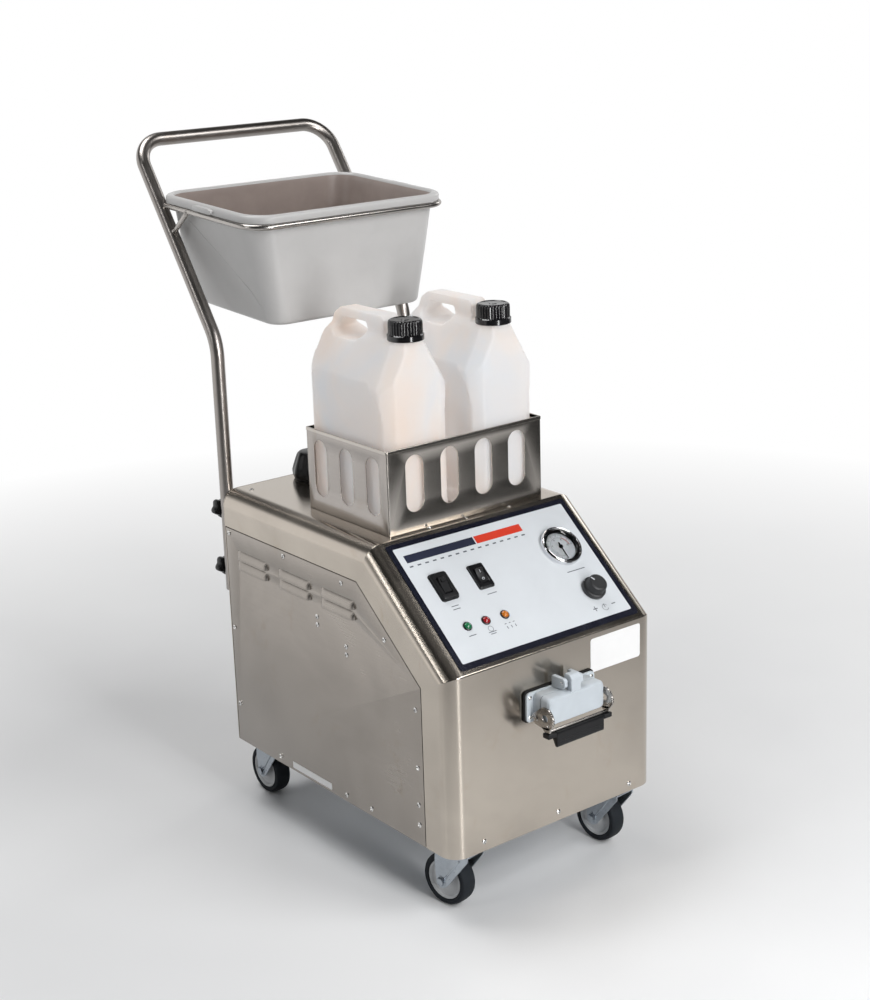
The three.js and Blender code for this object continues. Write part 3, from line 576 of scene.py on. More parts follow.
def can_look():
    """Natural polyethylene: milky and lit through by subsurface and transmission, with a faint warm and cool drift. A
    weak warm emission on top is painted light: the cans glow though they are no lamp.
    """
    # Emission Strength 0.12 here is a painted glow that lifts the cans' shaded sides.
    look = Look("can_plastic", Roughness=0.36, Subsurface_Weight=0.6, Subsurface_Scale=0.05, IOR=1.3,
                Transmission_Weight=0.3, Subsurface_Radius=(1.0, 0.92, 0.86), Emission_Color=(1.0, 0.93, 0.89, 1),
                Emission_Strength=0.12)
    drift = look.noise((8.0, 8.0, 5.0), 3, 0.5, 0.5)
    fine = look.noise(350.0, 3, 0.6)
    look.color(look.ramp(drift, [(0.3, (0.80, 0.67, 0.58)), (0.5, (0.76, 0.73, 0.71)), (0.72, (0.66, 0.72, 0.78))]))
    look.rough(look.span(fine, 0.32, 0.44))
    look.bump(fine, 0.10, 0.0003)
    return look.mat


def glass_look():
    look = Look("clear_glass", Roughness=0.02, Transmission_Weight=1.0, IOR=1.45)
    smear = look.noise(60.0, 3, 0.6)
    look.rough(look.span(smear, 0.01, 0.05))
    look.color(look.ramp(smear, [(0.3, (0.95, 0.97, 0.98)), (0.7, (1, 1, 1))]))
    return look.mat


CAN = can_look()
GLASS = glass_look()


# ---------------------------------------------------------------- body sheet
def outline(d, top_drop, rear=D, fold=3.5):
    """Side outline of the cover, drawn in by d and at the top by top_drop: foot, fold, fold, top rear, as (y, z)."""
    s, c = sin(ANGLE), cos(ANGLE)
    top = TOP - top_drop
    corners = [
        (d, BOTTOM),
        (d, FRONT_TOP - d * (1 - s) / c),
        (((top - FRONT_TOP) * c + d) / s, top),
        (rear, top),
    ]
    return filleted(corners, max(0.8, fold - d), 5, closed=False)


def cover_sections():
    rows = [(W / 2, FLANGE, FLANGE_TOP), (W / 2, FLANGE - 1, FLANGE_TOP - 1), (W / 2, BEND + 1.5, BEND + 1.5)]
    steps = 16
    for k in range(steps + 1):
        t = pi / 2 * k / steps
        d = BEND * (1 - sin(t))
        rows.append((W / 2 - BEND + BEND * cos(t), d, d))
    rows.append((W / 2 - BEND - 3, 0, 0))
    full = [(-x, d, dt) for x, d, dt in rows] + [(x, d, dt) for x, d, dt in reversed(rows)]
    return [[(x, y, z) for y, z in outline(d, dt)] for x, d, dt in full]


FLANGE, FLANGE_TOP, SEAM = 58, 54, 1.6
cover = make("cover_sheet", loft(cover_sections(), closed=False), STEEL, "chassis", "cover", fix=False)
front_normal = min(cover.data.polygons, key=lambda p: p.center.y).normal
if front_normal.y > 0:
    cover.data.flip_normals()
wall = cover.modifiers.new("wall", "SOLIDIFY")
wall.thickness = SHEET * MM
wall.offset = -1
cover.modifiers.new("normals", "WEIGHTED_NORMAL").keep_sharp = True

# Side panels: flush sheet with two rows of pressed louvres, and a lip behind the seam.
LOUVRES = [(y, z) for y in (239.5, 345, 453.5) for z in (381, 396.5)]


def louvre(cy, cz):
    half, tall, proud, taper = 38.5, 13.0, 4.4, 10.0

    def point(u, v):
        along = (u - 0.5) * 2 * half
        near = max(0.0, (abs(along) - (half - taper)) / taper)
        rise = proud * sqrt(max(0.0, 1 - near * near)) * sin(pi / 2 * min(1.0, v * 1.15)) ** 0.8
        drop = tall * v * (1 - 0.10 * near * near)
        return (cy + along, cz + tall - drop, rise)

    outer = sheet_grid(40, 10, point)
    inner = sheet_grid(40, 10, lambda u, v: Vector(point(u, v)) - Vector((0, 0.2, 1.0)))
    verts, faces = joined(outer, (inner[0], [tuple(reversed(f)) for f in inner[1]]))
    n, row = len(outer[0]), 41
    edge = [*range(row), *range(row * 2 - 1, n, row), *range(n - 2, n - row - 1, -1), *range(n - 2 * row, 0, -row)]
    for a, b in zip(edge, edge[1:] + edge[:1]):
        faces.append((a, a + n, b + n, b))
    return verts, faces


def side_panel():
    """Drawn in (y, z) with w outwards, w = 0 on the outer face."""
    def sheet(grow):
        return outline(FLANGE + grow, FLANGE_TOP + grow, D - 1, 0.0) + [(D - 1, BOTTOM)]

    face, lip = sheet(SEAM), sheet(-9)
    holes = [rounded_rect(37.6, 5.6, 5.0, 5, y, z + 5.6) for y, z in LOUVRES]
    wide = [rounded_rect(39.5, 8, 3, 3, y, z + 5.5) for y, z in LOUVRES]
    parts = [moved(plate(face, holes, 1.6, 0.25), at(0, 0, -1.6))]
    parts.append(moved(plate(lip, wide, 1.2, 0.1), at(0, 0, -3.2)))
    parts += [louvre(y, z) for y, z in LOUVRES]
    return joined(*parts)


panel = side_panel()
OUT_LEFT, OUT_RIGHT = (at(sx * W / 2, 0, 0) @ sideways(sx) for sx in (-1, 1))
for side, matrix in (("left", OUT_LEFT), ("right", OUT_RIGHT)):
    make(f"side_sheet_{side}", panel, STEEL_SIDE_PAINTED_SHADE, "chassis", f"side_panel_{side}", matrix, angle=38)

# Rear panel: plain sheet, its bottom corners square, with four stud holes.
rear_outline = filleted([(-W / 2, BOTTOM), (W / 2, BOTTOM), (W / 2, TOP), (-W / 2, TOP)], [0, 0, BEND, BEND], 12)
studs = [(side * 170, z) for side in (-1, 1) for z in (368, 458)]
rear_holes = [[(x + 4.3 * cos(t * TWELFTH), z + 4.3 * sin(t * TWELFTH)) for t in range(12)] for x, z in studs]
make("rear_sheet", plate(rear_outline, rear_holes, SHEET, 0.25), STEEL, "chassis", "rear_panel",
     at(0, D + 0.3 + SHEET, 0) @ TO_FRONT, angle=38)


# ---------------------------------------------------------------- screws
def pan_head(r=3.6, h=1.7, n=24):
    """Domed head with a cross recess, standing on z = 0."""
    rows = 9
    verts, faces = [(0, 0, h - 1.1)], []
    for k in range(1, rows + 1):
        q = r * k / rows
        for i in range(n):
            t = 2 * pi * i / n
            x, y = q * cos(t), q * sin(t)
            z = h * sqrt(max(0.0, 1 - (q / r) ** 2 * 0.78))
            if min(abs(x), abs(y)) < 0.62 and max(abs(x), abs(y)) < r * 0.62:
                z -= 1.15 * (1 - 0.5 * q / r)
            verts.append((x, y, z))
    verts += [(r * cos(2 * pi * i / n), r * sin(2 * pi * i / n), 0) for i in range(n)]
    faces += [(0, 1 + i, 1 + (i + 1) % n) for i in range(n)]
    for k in range(rows):
        a, b = 1 + k * n, 1 + (k + 1) * n
        faces += [(a + i, b + i, b + (i + 1) % n, a + (i + 1) % n) for i in range(n)]
    faces.append(tuple(range(1 + rows * n + n - 1, rows * n, -1)))
    return verts, faces


HEAD = pan_head()


def screws(name, places, part=HEAD, look=SCREW):
    """places: matrices whose +Z is the way the heads face. Each head is turned a little further than the last."""
    parts = [moved(part, m @ Matrix.Rotation(0.7 * k, 4, "Z")) for k, m in enumerate(places)]
    make(name, joined(*parts), look, "chassis", angle=28)


SIDE_SCREWS = [
    (515, 431), (371, 431), (229.5, 428), (135, 373), (71.4, 293), (70.5, 210), (71.2, 155.6), (70.6, 126.2),
    (292, 362), (292, 350), (224, 337), (224, 325), (516, 282), (515, 158.5), (408.6, 107.7), (240, 107), (180.4, 108),
]
screws("side_screws_left", [OUT_LEFT @ at(y, z, -0.1) for y, z in SIDE_SCREWS])
screws("side_screws_right", [OUT_RIGHT @ at(y, z, -0.1) for y, z in SIDE_SCREWS])
screws("front_screws", [TO_FRONT @ at(x, z, 0) for x, z in ((-131, 111), (1, 110), (135, 108.5))])
screws("top_screws", [at(x, 500, TOP) for x in (-150, 150)])
REAR_OUT = at(0, D + 0.3 + SHEET, 0) @ TO_BACK
REAR_SCREWS = [(x, z) for x in (-140, -5, 140) for z in (112, 478)] + [(x, 290) for x in (-172, 172)]
screws("rear_screws", [REAR_OUT @ at(x, z, -0.1) for x, z in REAR_SCREWS])

# ---------------------------------------------------------------- printed film on the slope
film = SLOPE @ at(0, 0, 0.1)
make("panel_border", prism(rounded_rect(158, 102, 4, 6, 0, 109), 0, 1.0, 0.3), BORDER, "chassis",
     "control_label", film)
make("panel_film", prism(rounded_rect(150, 93.5, 2, 5, 0, 109.5), 1.0, 1.2, 0.08), LABEL, "chassis", None,
     film)


FILM_TOP, INK_RISE = 1.2, 0.05


def bar_mark(x0, x1, s0, s1):
    return prism([(x0, s0), (x1, s0), (x1, s1), (x0, s1)], FILM_TOP, FILM_TOP + INK_RISE)


def ring_mark(cx, cy, r, w, a0=0.0, a1=2 * pi, n=40, h0=1.2, h1=1.25):
    """Flat arc of width w, as a thin solid."""
    rows = []
    for i in range(n + 1):
        t = a0 + (a1 - a0) * i / n
        c, s = cos(t), sin(t)
        rows.append([(cx + (r - w) * c, cy + (r - w) * s, h0), (cx + r * c, cy + r * s, h0),
                     (cx + r * c, cy + r * s, h1), (cx + (r - w) * c, cy + (r - w) * s, h1)])
    if a1 - a0 > 6.28:
        return loft(rows[:-1], around=True)
    return loft(rows)


# A plain two-tone stripe with a thin rule under it.
make("stripe_navy", joined(bar_mark(-140, -22, 178, 190)), INK_NAVY, "chassis", matrix=film)
make("stripe_red", joined(bar_mark(-20, 62, 178, 190)), INK_RED, "chassis", matrix=film)
marks = [bar_mark(-140 + 13 * k, -134 + 13 * k, 170.5, 172.6) for k in range(16)]
marks += [bar_mark(*bar) for bar in (
    (-116, -104, 98, 99.2), (-116, -104, 93, 94.2), (-53, -37, 100, 101.2),
    (-117, -105, 50, 51.2), (-86, -73, 46.5, 47.6), (-84, -75, 43.5, 44.6))]
marks += [ring_mark(-79.5, 52, 4.2, 0.6)]
marks += [ring_mark(x, 50.5, 2.2, 0.9, 0.6, 2.6, 8) for x in (-54, -47, -40)]
marks += [bar_mark(x - 0.6, x + 0.6, 44, 48) for x in (-54, -47, -40)]
marks += [bar_mark(*bar) for bar in ((90, 98, 31.4, 32.8), (93.3, 94.7, 28, 36), (124, 131, 31.4, 32.8))]
marks += [ring_mark(111, 30, 5, 0.6, 0.5, 5.8, 24), bar_mark(110.5, 111.5, 30, 36), bar_mark(88, 120, 96, 97.3)]
make("panel_marks", joined(*marks), INK, "chassis", matrix=film)

# ---------------------------------------------------------------- switches and lamps
def at_slope(x, s, h=1.3):
    return SLOPE @ at(x, s, h)


def hollow_block(hx, hy, r, wx, wy, wr, low, high, edge, depth):
    """Collar with a well: outer rim rounded by edge, well down to depth."""
    n = 5
    rows = [(hx, hy, r, low)]
    for k in range(5):
        t = k / 4 * pi / 2
        inset = edge * (1 - cos(t))
        rows.append((hx - inset, hy - inset, r - inset * 0.5, high - edge + edge * sin(t)))
    rows += [(wx + 0.6, wy + 0.6, wr + 0.4, high), (wx, wy, wr, high - 0.8), (wx, wy, wr, depth)]
    return loft([at_height(rounded_rect(ax, ay, ar, n), z) for ax, ay, ar, z in rows])


def rocker(half, width, low, high, dip, root):
    """Rocker top: two facets meeting in a dip, soft at the ends; s runs along it."""
    profile = [(-half, root), (-half, low - 1.2), (-half + 1.0, low), (-half * 0.5, (low + dip) / 2 - 0.5), (0, dip),
               (half * 0.5, (high + dip) / 2 - 0.4), (half - 1.0, high), (half, high - 1.0), (half, root)]
    rows = []
    for x, pull in ((-width / 2, 0.7), (-width / 2 + 0.5, 0.15), (-width / 2 + 1.2, 0), (width / 2 - 1.2, 0),
                    (width / 2 - 0.5, 0.15), (width / 2, 0.7)):
        rows.append([(x, s, h - (pull if h > root else 0)) for s, h in profile])
    return loft(rows)


BOOT_AT, MAIN_AT, KNOB_AT = at_slope(-110, 130), at_slope(-47, 129), at_slope(110, 61)
make("boot_frame", joined(hollow_block(13.5, 21, 4, 7, 13, 2, 0, 5.4, 1.6, -9),
                          hollow_block(14.6, 22.2, 4.5, 12.5, 20, 4, 0, 1.6, 0.6, 1.0)),
     BLACK, "chassis", "boot_switch_frame", BOOT_AT)
make("boot_rocker", joined(rocker(11.4, 12.6, 5.2, 8.8, 6.0, -3),
                           slab(-4, 4, 3.5, 9.2, 7.1, 9.1, 0.4, 1.5)),
     RUBBER, "boot_switch_rocker", "boot_switch_rocker", BOOT_AT)
make("main_frame", joined(hollow_block(12.5, 19, 2.5, 7.5, 11.5, 1.5, 0, 3.6, 1.2, -9),
                          hollow_block(13.2, 19.8, 3, 11.5, 18, 2, 0, 1.0, 0.4, 0.6)),
     BLACK_GLOSS, "chassis", "main_switch_frame", MAIN_AT)
make("main_rocker", rocker(10.6, 13.6, 3.4, 7.0, 3.8, -3), BLACK, "main_switch_rocker", "main_switch_rocker",
     MAIN_AT)
make("rocker_marks", joined(ring_mark(0, -5.4, 2.0, 0.5, h0=2.5, h1=4.1),
                            prism([(-0.3, 3.6), (0.3, 3.6), (0.3, 7.6), (-0.3, 7.6)], 4.4, 6.3)),
     LABEL, "main_switch_rocker", matrix=MAIN_AT)

for lamp, x, color in (("lamp_green", -111, (0.012, 0.20, 0.075)), ("lamp_red", -79.5, (0.36, 0.008, 0.012)),
                       ("lamp_amber", -47, (0.66, 0.19, 0.012))):
    lens = [(0, -3), (5.0, -3), (5.2, 1.6)] + [(5.2 * cos(t), 1.6 + 3.0 * sin(t))
                                             for t in (0.25, 0.5, 0.75, 1.0, 1.25, 1.45)] + [(0, 4.6)]
    make(f"{lamp}_lens", lathe(lens, 32), lamp_look(f"{lamp}_lens", color), "chassis", lamp, at_slope(x, 65))
    make(f"{lamp}_bezel", lathe([(5.3, 0), (6.7, 0), (6.7, 1.2), (6.2, 2.0), (5.5, 2.1), (5.3, 1.8)], 40),
         BLACK_GLOSS, "chassis", matrix=at_slope(x, 65))

# ---------------------------------------------------------------- regulator knob
def knob_wave(k, t, r):
    return 0.28 * max(0.0, cos(32 * t)) if 5 <= k <= 8 else 0.0


knob_profile = [(0, 0.3), (17.2, 0.3), (17.5, 0.8), (17.5, 5.4), (16.9, 6.2), (14.6, 6.9), (14.2, 8.0), (13.6, 16.4),
                (13.2, 17.4), (12.2, 18.1), (10.8, 18.3), (10.2, 17.9), (0, 17.7)]
make("knob_grip", lathe(knob_profile, 128, knob_wave), KNOB, "regulator_knob", "regulator_knob",
     KNOB_AT)
make("knob_pointer", joined(slab(-0.7, 0.7, 6, 12.6, 17.2, 18.5, 0.15, 0.5),
                            slab(-0.6, 0.6, 14.6, 17.4, 5.6, 6.4, 0.1, 0.4)),
     LABEL, "regulator_knob", matrix=KNOB_AT @ Matrix.Rotation(0.6, 4, "Z"))

# ---------------------------------------------------------------- pressure gauge
G = 31                                         # the gauge's outer radius
gauge = at_slope(103, 137, 0.0)
bezel = [(G - 5.6, 1.2), (G - 0.4, 1.2), (G, 1.8), (G, 6.2), (G - 0.5, 7.8), (G - 1.5, 9.0), (G - 2.7, 9.5),
         (G - 3.6, 9.3), (G - 4.1, 8.6), (G - 4.2, 7.6), (G - 5.6, 7.4)]
make("gauge_bezel", lathe(bezel, 96), CHROME, "chassis", "gauge_case", gauge)
make("gauge_ring", lathe([(G - 8.2, 2.0), (G - 4.3, 2.0), (G - 4.3, 8.6), (G - 5.4, 8.2), (G - 7.4, 5.2),
                          (G - 8.2, 4.8)], 96),
     BLACK_GLOSS, "chassis", matrix=gauge)
make("gauge_back", lathe([(0, -26), (25, -26), (26.5, -24), (26.5, 1.3), (0, 1.3)], 48), BLACK, "chassis", matrix=gauge)
DIAL_TOP = 1.9
make("gauge_dial", lathe([(0, 1.4), (G - 7, 1.4), (G - 7, DIAL_TOP), (0, DIAL_TOP)], 72), DIAL, "chassis", matrix=gauge)


def tick(angle, r0, r1, w):
    mark = prism([(-w / 2, r0), (w / 2, r0), (w / 2, r1), (-w / 2, r1)], DIAL_TOP, DIAL_TOP + 0.08)
    return moved(mark, Matrix.Rotation(angle, 4, "Z"))


start, sweep = radians(180), radians(-270)
scale = [tick(start + sweep * k / 50, 19.4 if k % 5 else 17.6, 22.0, 0.35 if k % 5 else 0.6) for k in range(51)]
scale += [ring_mark(0, 0, 22.2, 0.35, pi / 2 + start + sweep, pi / 2 + start, 64, 1.9, 1.98),
          ring_mark(0, 0, 15.4, 0.3, pi / 2 + start + sweep, pi / 2 + start, 64, 1.9, 1.98)]
make("gauge_scale", joined(*scale), INK, "chassis", matrix=gauge)
make("gauge_limit", ring_mark(0, 0, 17.0, 0.9, pi / 2 + start + sweep, pi / 2 + start + sweep * 0.8, 20, 1.9, 1.99),
     INK_RED, "chassis", matrix=gauge)


def numeral(text, size, x, y, h):
    font = bpy.data.curves.new("numeral", "FONT")
    font.body = text
    font.size = size
    font.align_x = font.align_y = "CENTER"
    font.extrude = 0.04
    return part_of(throwaway(font), lambda co: co + Vector((x, y, h)))


digits = []
for k in range(0, 11, 2):
    a = start + sweep * k / 10
    digits.append(numeral(str(k), 4.4, -13.0 * sin(a), 13.0 * cos(a), 1.96))
make("gauge_numbers", joined(*digits), INK, "chassis", matrix=gauge)
needle = [(-0.9, 7), (-1.3, 3), (-1.0, 0), (-0.28, -20.5), (0.28, -20.5), (1.0, 0), (1.3, 3), (0.9, 7)]
make("needle_hand", joined(prism(needle, 3.1, 3.7, 0.1),
                           lathe([(0, 2.1), (2.9, 2.1), (3.1, 2.6), (3.1, 4.0), (2.4, 4.8), (0, 5.0)], 32)),
     BLACK_GLOSS, "gauge_needle", "gauge_needle", gauge)
make("gauge_glass", lathe([(0, 7.0), (G - 4.6, 7.0), (G - 4.6, 8.0), (0, 8.0)], 72), GLASS, "chassis", "gauge_lens",
     gauge)

# ---------------------------------------------------------------- stickers on the sheets
make("front_sticker", prism(rounded_rect(46.5, 24.5, 4, 6, 108.5, 322.5), 0.05, 0.3, 0.08), STICKER, "chassis",
     matrix=TO_FRONT)
make("side_strip", prism(rounded_rect(49.5, 5, 1, 3, 326.5, 106), 0.05, 0.25, 0.05), STICKER, "chassis",
     matrix=OUT_LEFT)

# ---------------------------------------------------------------- filler
neck = [(17, TOP - 20), (20, TOP - 20), (20, TOP), (27.4, TOP + 0.2), (28, TOP + 0.8), (28, TOP + 2.6),
        (27.2, TOP + 3.2),
        (20, TOP + 3.2), (19.8, TOP + 18.6), (19, TOP + 19), (17, TOP + 19)]
FILLER_AT = at(-46, 491, 0)
make("filler_collar", lathe(neck, 48), BLACK, "chassis", "filler_neck", FILLER_AT)


def cap_wave(k, t, r):
    if 4 <= k <= 10:
        return 1.1 * cos(8 * t) * (0.5 if k in (4, 10) else 1)
    return 0.0


filler_cap = [(0, TOP + 20.6), (20.6, TOP + 20), (20.6, TOP + 3.6), (28.6, TOP + 3.6), (29.6, TOP + 5), (29.8, TOP + 9),
              (30, TOP + 13), (28, TOP + 20), (25.2, TOP + 28), (22.6, TOP + 35), (21.4, TOP + 38.2),
              (19.6, TOP + 40.2),
              (17, TOP + 40.9), (0, TOP + 40.2)]
make("filler_grip", lathe(filler_cap, 96, cap_wave), BLACK, "filler_cap", "filler_cap", FILLER_AT)

# ---------------------------------------------------------------- tray
TW, TD, TH, TY = 272, 188, 118, 180            # the tray's width, depth, wall and front
FLOOR = TOP + 0.3
SLOT_R = 15.2                                  # the slots' round ends


def slotted(width, centres, low, high):
    """Wall drawn in (u, v) from the middle, with upright round-ended slots."""
    outer = [(-width / 2, 0), (width / 2, 0), (width / 2, TH), (-width / 2, TH)]
    holes = [rounded_rect(SLOT_R, (high - low) / 2, SLOT_R - 0.01, 12, u, (high + low) / 2) for u in centres]
    return plate(outer, holes, SHEET, 0.22)


def tray_parts():
    r = 2.2
    long_wall = slotted(TW - 2 * r, (-90, -30, 30, 90), 26, 106)
    short_wall = slotted(TD - 2 * r, (-61, 0, 61), 23, 104)
    mid = TY + TD / 2
    sides = joined(moved(short_wall, at(-TW / 2 + SHEET, mid, FLOOR) @ TO_LEFT),
                   moved(short_wall, at(TW / 2 - SHEET, mid, FLOOR) @ TO_RIGHT))
    parts = [
        moved(long_wall, at(0, TY + SHEET, FLOOR) @ TO_FRONT),
        moved(long_wall, at(0, TY + TD - SHEET, FLOOR) @ TO_BACK),
        slab(-TW / 2 + 1, TW / 2 - 1, TY + 1, TY + TD - 1, FLOOR, FLOOR + SHEET, 0.2, 1.2),
    ]
    for sx, sy, start_turn in ((1, 1, 0), (-1, 1, 1), (-1, -1, 2), (1, -1, 3)):
        cx, cy = sx * (TW / 2 - r), mid + sy * (TD / 2 - r)
        arc = [start_turn * pi / 2 + pi / 2 * k / 6 for k in range(7)]
        section = [(cx + r * cos(t), cy + r * sin(t)) for t in arc]
        section += [(cx + (r - SHEET) * cos(t), cy + (r - SHEET) * sin(t)) for t in reversed(arc)]
        parts.append(loft([at_height(section, FLOOR), at_height(section, FLOOR + TH)]))
    band = []
    for grow, z in ((0, 113.4), (0.7, 113.9), (0.8, 117.2), (0.4, 118.0), (0, 118.25), (-SHEET, 118.2),
                    (-SHEET, 113.4)):
        band.append(at_height(rounded_rect(TW / 2 + grow, TD / 2 + grow, max(0.4, r + grow), 6, 0, mid), FLOOR + z))
    parts.append(loft(band, around=True))
    return joined(*parts), sides


TRAY_BODY, TRAY_SIDES = tray_parts()
# Front, back, floor and rim in the lighter steel copy, side walls in the darker one: painted light and painted shade.
make("tray_box", TRAY_BODY, TRAY_STEEL_PAINTED_LIGHT, "chassis", "tray", angle=30)
make("tray_sides", TRAY_SIDES, TRAY_STEEL_PAINTED_SHADE, "chassis", None, angle=30)
screws("tray_screws", [at(x, TY - 4.5, TOP) for x in (-71, -6.5, 71)], part=pan_head(2.6, 1.4, 18))

# ---------------------------------------------------------------- cans
CAN_X, CAN_CAP = 76, 208
CAN_FLOOR, ROOF = FLOOR + 1.8, 750


def beyond(point, normal):
    """A big block whose near face passes through point, square to normal."""
    n = Vector(normal).normalized()
    u = n.orthogonal().normalized()
    w = n.cross(u)
    face = [Vector(point) + (u * a + w * b) * 400 for a, b in ((-1, -1), (1, -1), (1, 1), (-1, 1))]
    return loft([face, [p + n * 400 for p in face]])


def can_solid(side):
    """Blow-moulded can: front outline met with side outline and plan, front corners bevelled, side panels sunk,
    grip hole cut through, neck collar added."""
    f = CAN_FLOOR
    front = [(-57, f), (57, f), (57, 692), (27, 748), (15, 757), (14, 780), (-14, 780), (-15, 757), (-27, 748),
             (-57, 692)]
    flank = [(185, f), (363, f), (363, 715), (360, 752), (352, 771), (338, 780), (244, 780), (238, 774), (236, 757),
             (233, 752), (191, 751), (185, 733)]
    plan = rounded_rect(57, 89, 17, 8, 0, 274)
    along_y = moved(prism(front, -370, -180), TO_FRONT)
    along_x = moved(prism(flank, -60, 60), TO_RIGHT)
    body = boolean(along_y, along_x, "INTERSECT")
    body = boolean(body, prism(plan, f - 5, 790), "INTERSECT")
    sunk = filleted([(193, 515), (350, 515), (352, 690), (338, 742), (262, 742), (232, 738), (234, 712), (216, 686),
                     (198, 662),
                     (193, 630)], [14, 16, 20, 12, 6, 6, 14, 16, 14, 14], 5)
    for sx in (-1, 1):
        body = boolean(body, beyond((sx * 37, 185, 700), (sx * 12, -19, 0)), "DIFFERENCE")
        body = boolean(body, beyond((sx * 37, 185, 704), (sx * 750, -560, 430)), "DIFFERENCE")
        body = boolean(body, moved(prism(sunk, 53.4, 62), sideways(sx)), "DIFFERENCE")
    fingers = filleted([(272, 751), (277, 767), (331, 767), (343, 751), (330, 742), (284, 742)], 4, 4)
    body = boolean(body, moved(prism(fingers, -70, 70), TO_RIGHT), "DIFFERENCE")
    collar = moved(lathe([(0, ROOF - 24), (23.5, ROOF - 24), (22, ROOF), (20, ROOF + 2), (19.6, ROOF + 13),
                          (0, ROOF + 13)], 40),
                   at(0, CAN_CAP + 3, 0))
    return moved(boolean(body, collar, "UNION"), at(side * CAN_X, 0, 0))


for side, name in SIDES:
    can = make(f"can_body_{name}", can_solid(side), CAN, f"can_{name}", f"can_{name}", angle=180)
    skin = can.modifiers.new("skin", "REMESH")
    skin.mode = "VOXEL"
    skin.voxel_size = 2.0 * MM
    skin.use_smooth_shade = True
    soft = can.modifiers.new("soft", "SMOOTH")
    soft.factor = 0.5
    soft.iterations = 6


def rib_wave(k, t, r):
    if 7 <= k <= 11:
        return -0.9 * (0.5 - 0.5 * cos(30 * t)) ** 2
    return 0.0


can_cap = [(0, 15.8), (21.4, 15.8), (21.4, 1.2), (24.4, 1.2), (25, 1.9), (25, 8.6), (24.2, 9.4), (23.4, 10.2),
           (23.4, 13),
           (23.4, 22), (23.1, 25.6), (22.3, 27.6), (20.6, 28.8), (18.9, 29.0), (18.2, 28.3), (6, 28.0), (5.4, 28.5),
           (0, 28.5)]
for side, name in SIDES:
    make(f"can_lid_{name}", lathe(can_cap, 180, rib_wave), BLACK_GLOSS, f"can_cap_{name}", f"can_cap_{name}",
         at(side * CAN_X, CAN_CAP, ROOF))

# ---------------------------------------------------------------- push handle and its clamps
# The legs stand at LEG_X, LEG_Y up to the knee, and lean back from there to the top bar.
LEG_X, LEG_Y, KNEE, LEAN, REACH = 170, 537, 712, radians(35.6), 337


def leg(side, reach):
    return Vector((side * LEG_X, LEG_Y + reach * sin(LEAN), KNEE + reach * cos(LEAN)))


bow = route([(-LEG_X, LEG_Y, 335), leg(-1, 0), leg(-1, REACH), leg(1, REACH), leg(1, 0), (LEG_X, LEG_Y, 335)],
            [70, 43, 43, 70], 28)
make("handle_tube", tube(bow, 10, 40, 8.4), STEEL_TUBE, "chassis", "handle", angle=50)


def star_knob():
    """Five-lobed head from rows of (radius, lobe, height), and its threaded stud."""
    n = 90
    rows = ((9.4, 0, 10.3), (9.4, 0.1, 11.6), (12.4, 1.7, 12.3), (13.4, 2.0, 13.6), (13.6, 2.1, 18),
            (13.3, 2.0, 23), (12.5, 1.7, 25.2), (11.0, 1.2, 26), (7.5, 0.1, 26), (6.8, 0, 25.3))
    turns = [2 * pi * i / n for i in range(n)]
    head = loft([[((r + lobe * cos(5 * t)) * cos(t), (r + lobe * cos(5 * t)) * sin(t), z) for t in turns]
                 for r, lobe, z in rows])
    stud = lathe([(0, -22), (3.0, -22), (3.6, -21.3), (3.6, 12), (0, 12)], 24)
    return head, stud


knob_head, knob_stud = star_knob()
for side, name in SIDES:
    for level, z in (("lower", 368), ("upper", 458)):
        place = at(side * LEG_X, LEG_Y, z) @ TO_BACK @ Matrix.Rotation(0.3 * side, 4, "Z")
        body = f"clamp_knob_{level}_{name}"
        make(f"star_{level}_{name}", knob_head, BLACK, body, body, place)
        make(f"stud_{level}_{name}", knob_stud, ZINC, body, None, place)

# ---------------------------------------------------------------- ring and bucket
RX, RF, RR, RZ, ROD = 171, -131, 104.7, -16.2, 4      # the rod ring: half width, ends, height, rod radius
loop = route([(-RX, RR, RZ), (-RX, RF, RZ), (RX, RF, RZ), (RX, RR, RZ)], 38, 12)
ring_parts = [tube(loop, ROD, 20, 0, 0.6)]
for sx in (-1, 1):
    stay = route([(sx * RX, 42, RZ), (sx * RX, 81.8, -50.2)], [])
    ring_parts.append(tube(stay, ROD - 0.3, 20, 0, 0.6))
    for y, z, way in ((44, RZ - 1.5, 0.71), (80.6, -49.4, 0.71)):
        bead = lathe([(4.6, -1.6), (5.4, -0.7), (5.5, 0.5), (4.7, 1.6), (3.4, 1.9), (3.4, -1.9)], 28,
                     lambda k, t, r: 0.16 * cos(9 * t))
        ring_parts.append(moved(bead, at(sx * RX, y, z) @ Matrix.Rotation(pi / 2 + way, 4, "X")))
make("ring_rod", joined(*ring_parts), STEEL_WIRE, "chassis", "bucket_ring", BUCKET, angle=45)


def bucket_ring_at(hx, hy, r, z):
    return at_height(rounded_rect(hx, hy, r, 12), z)


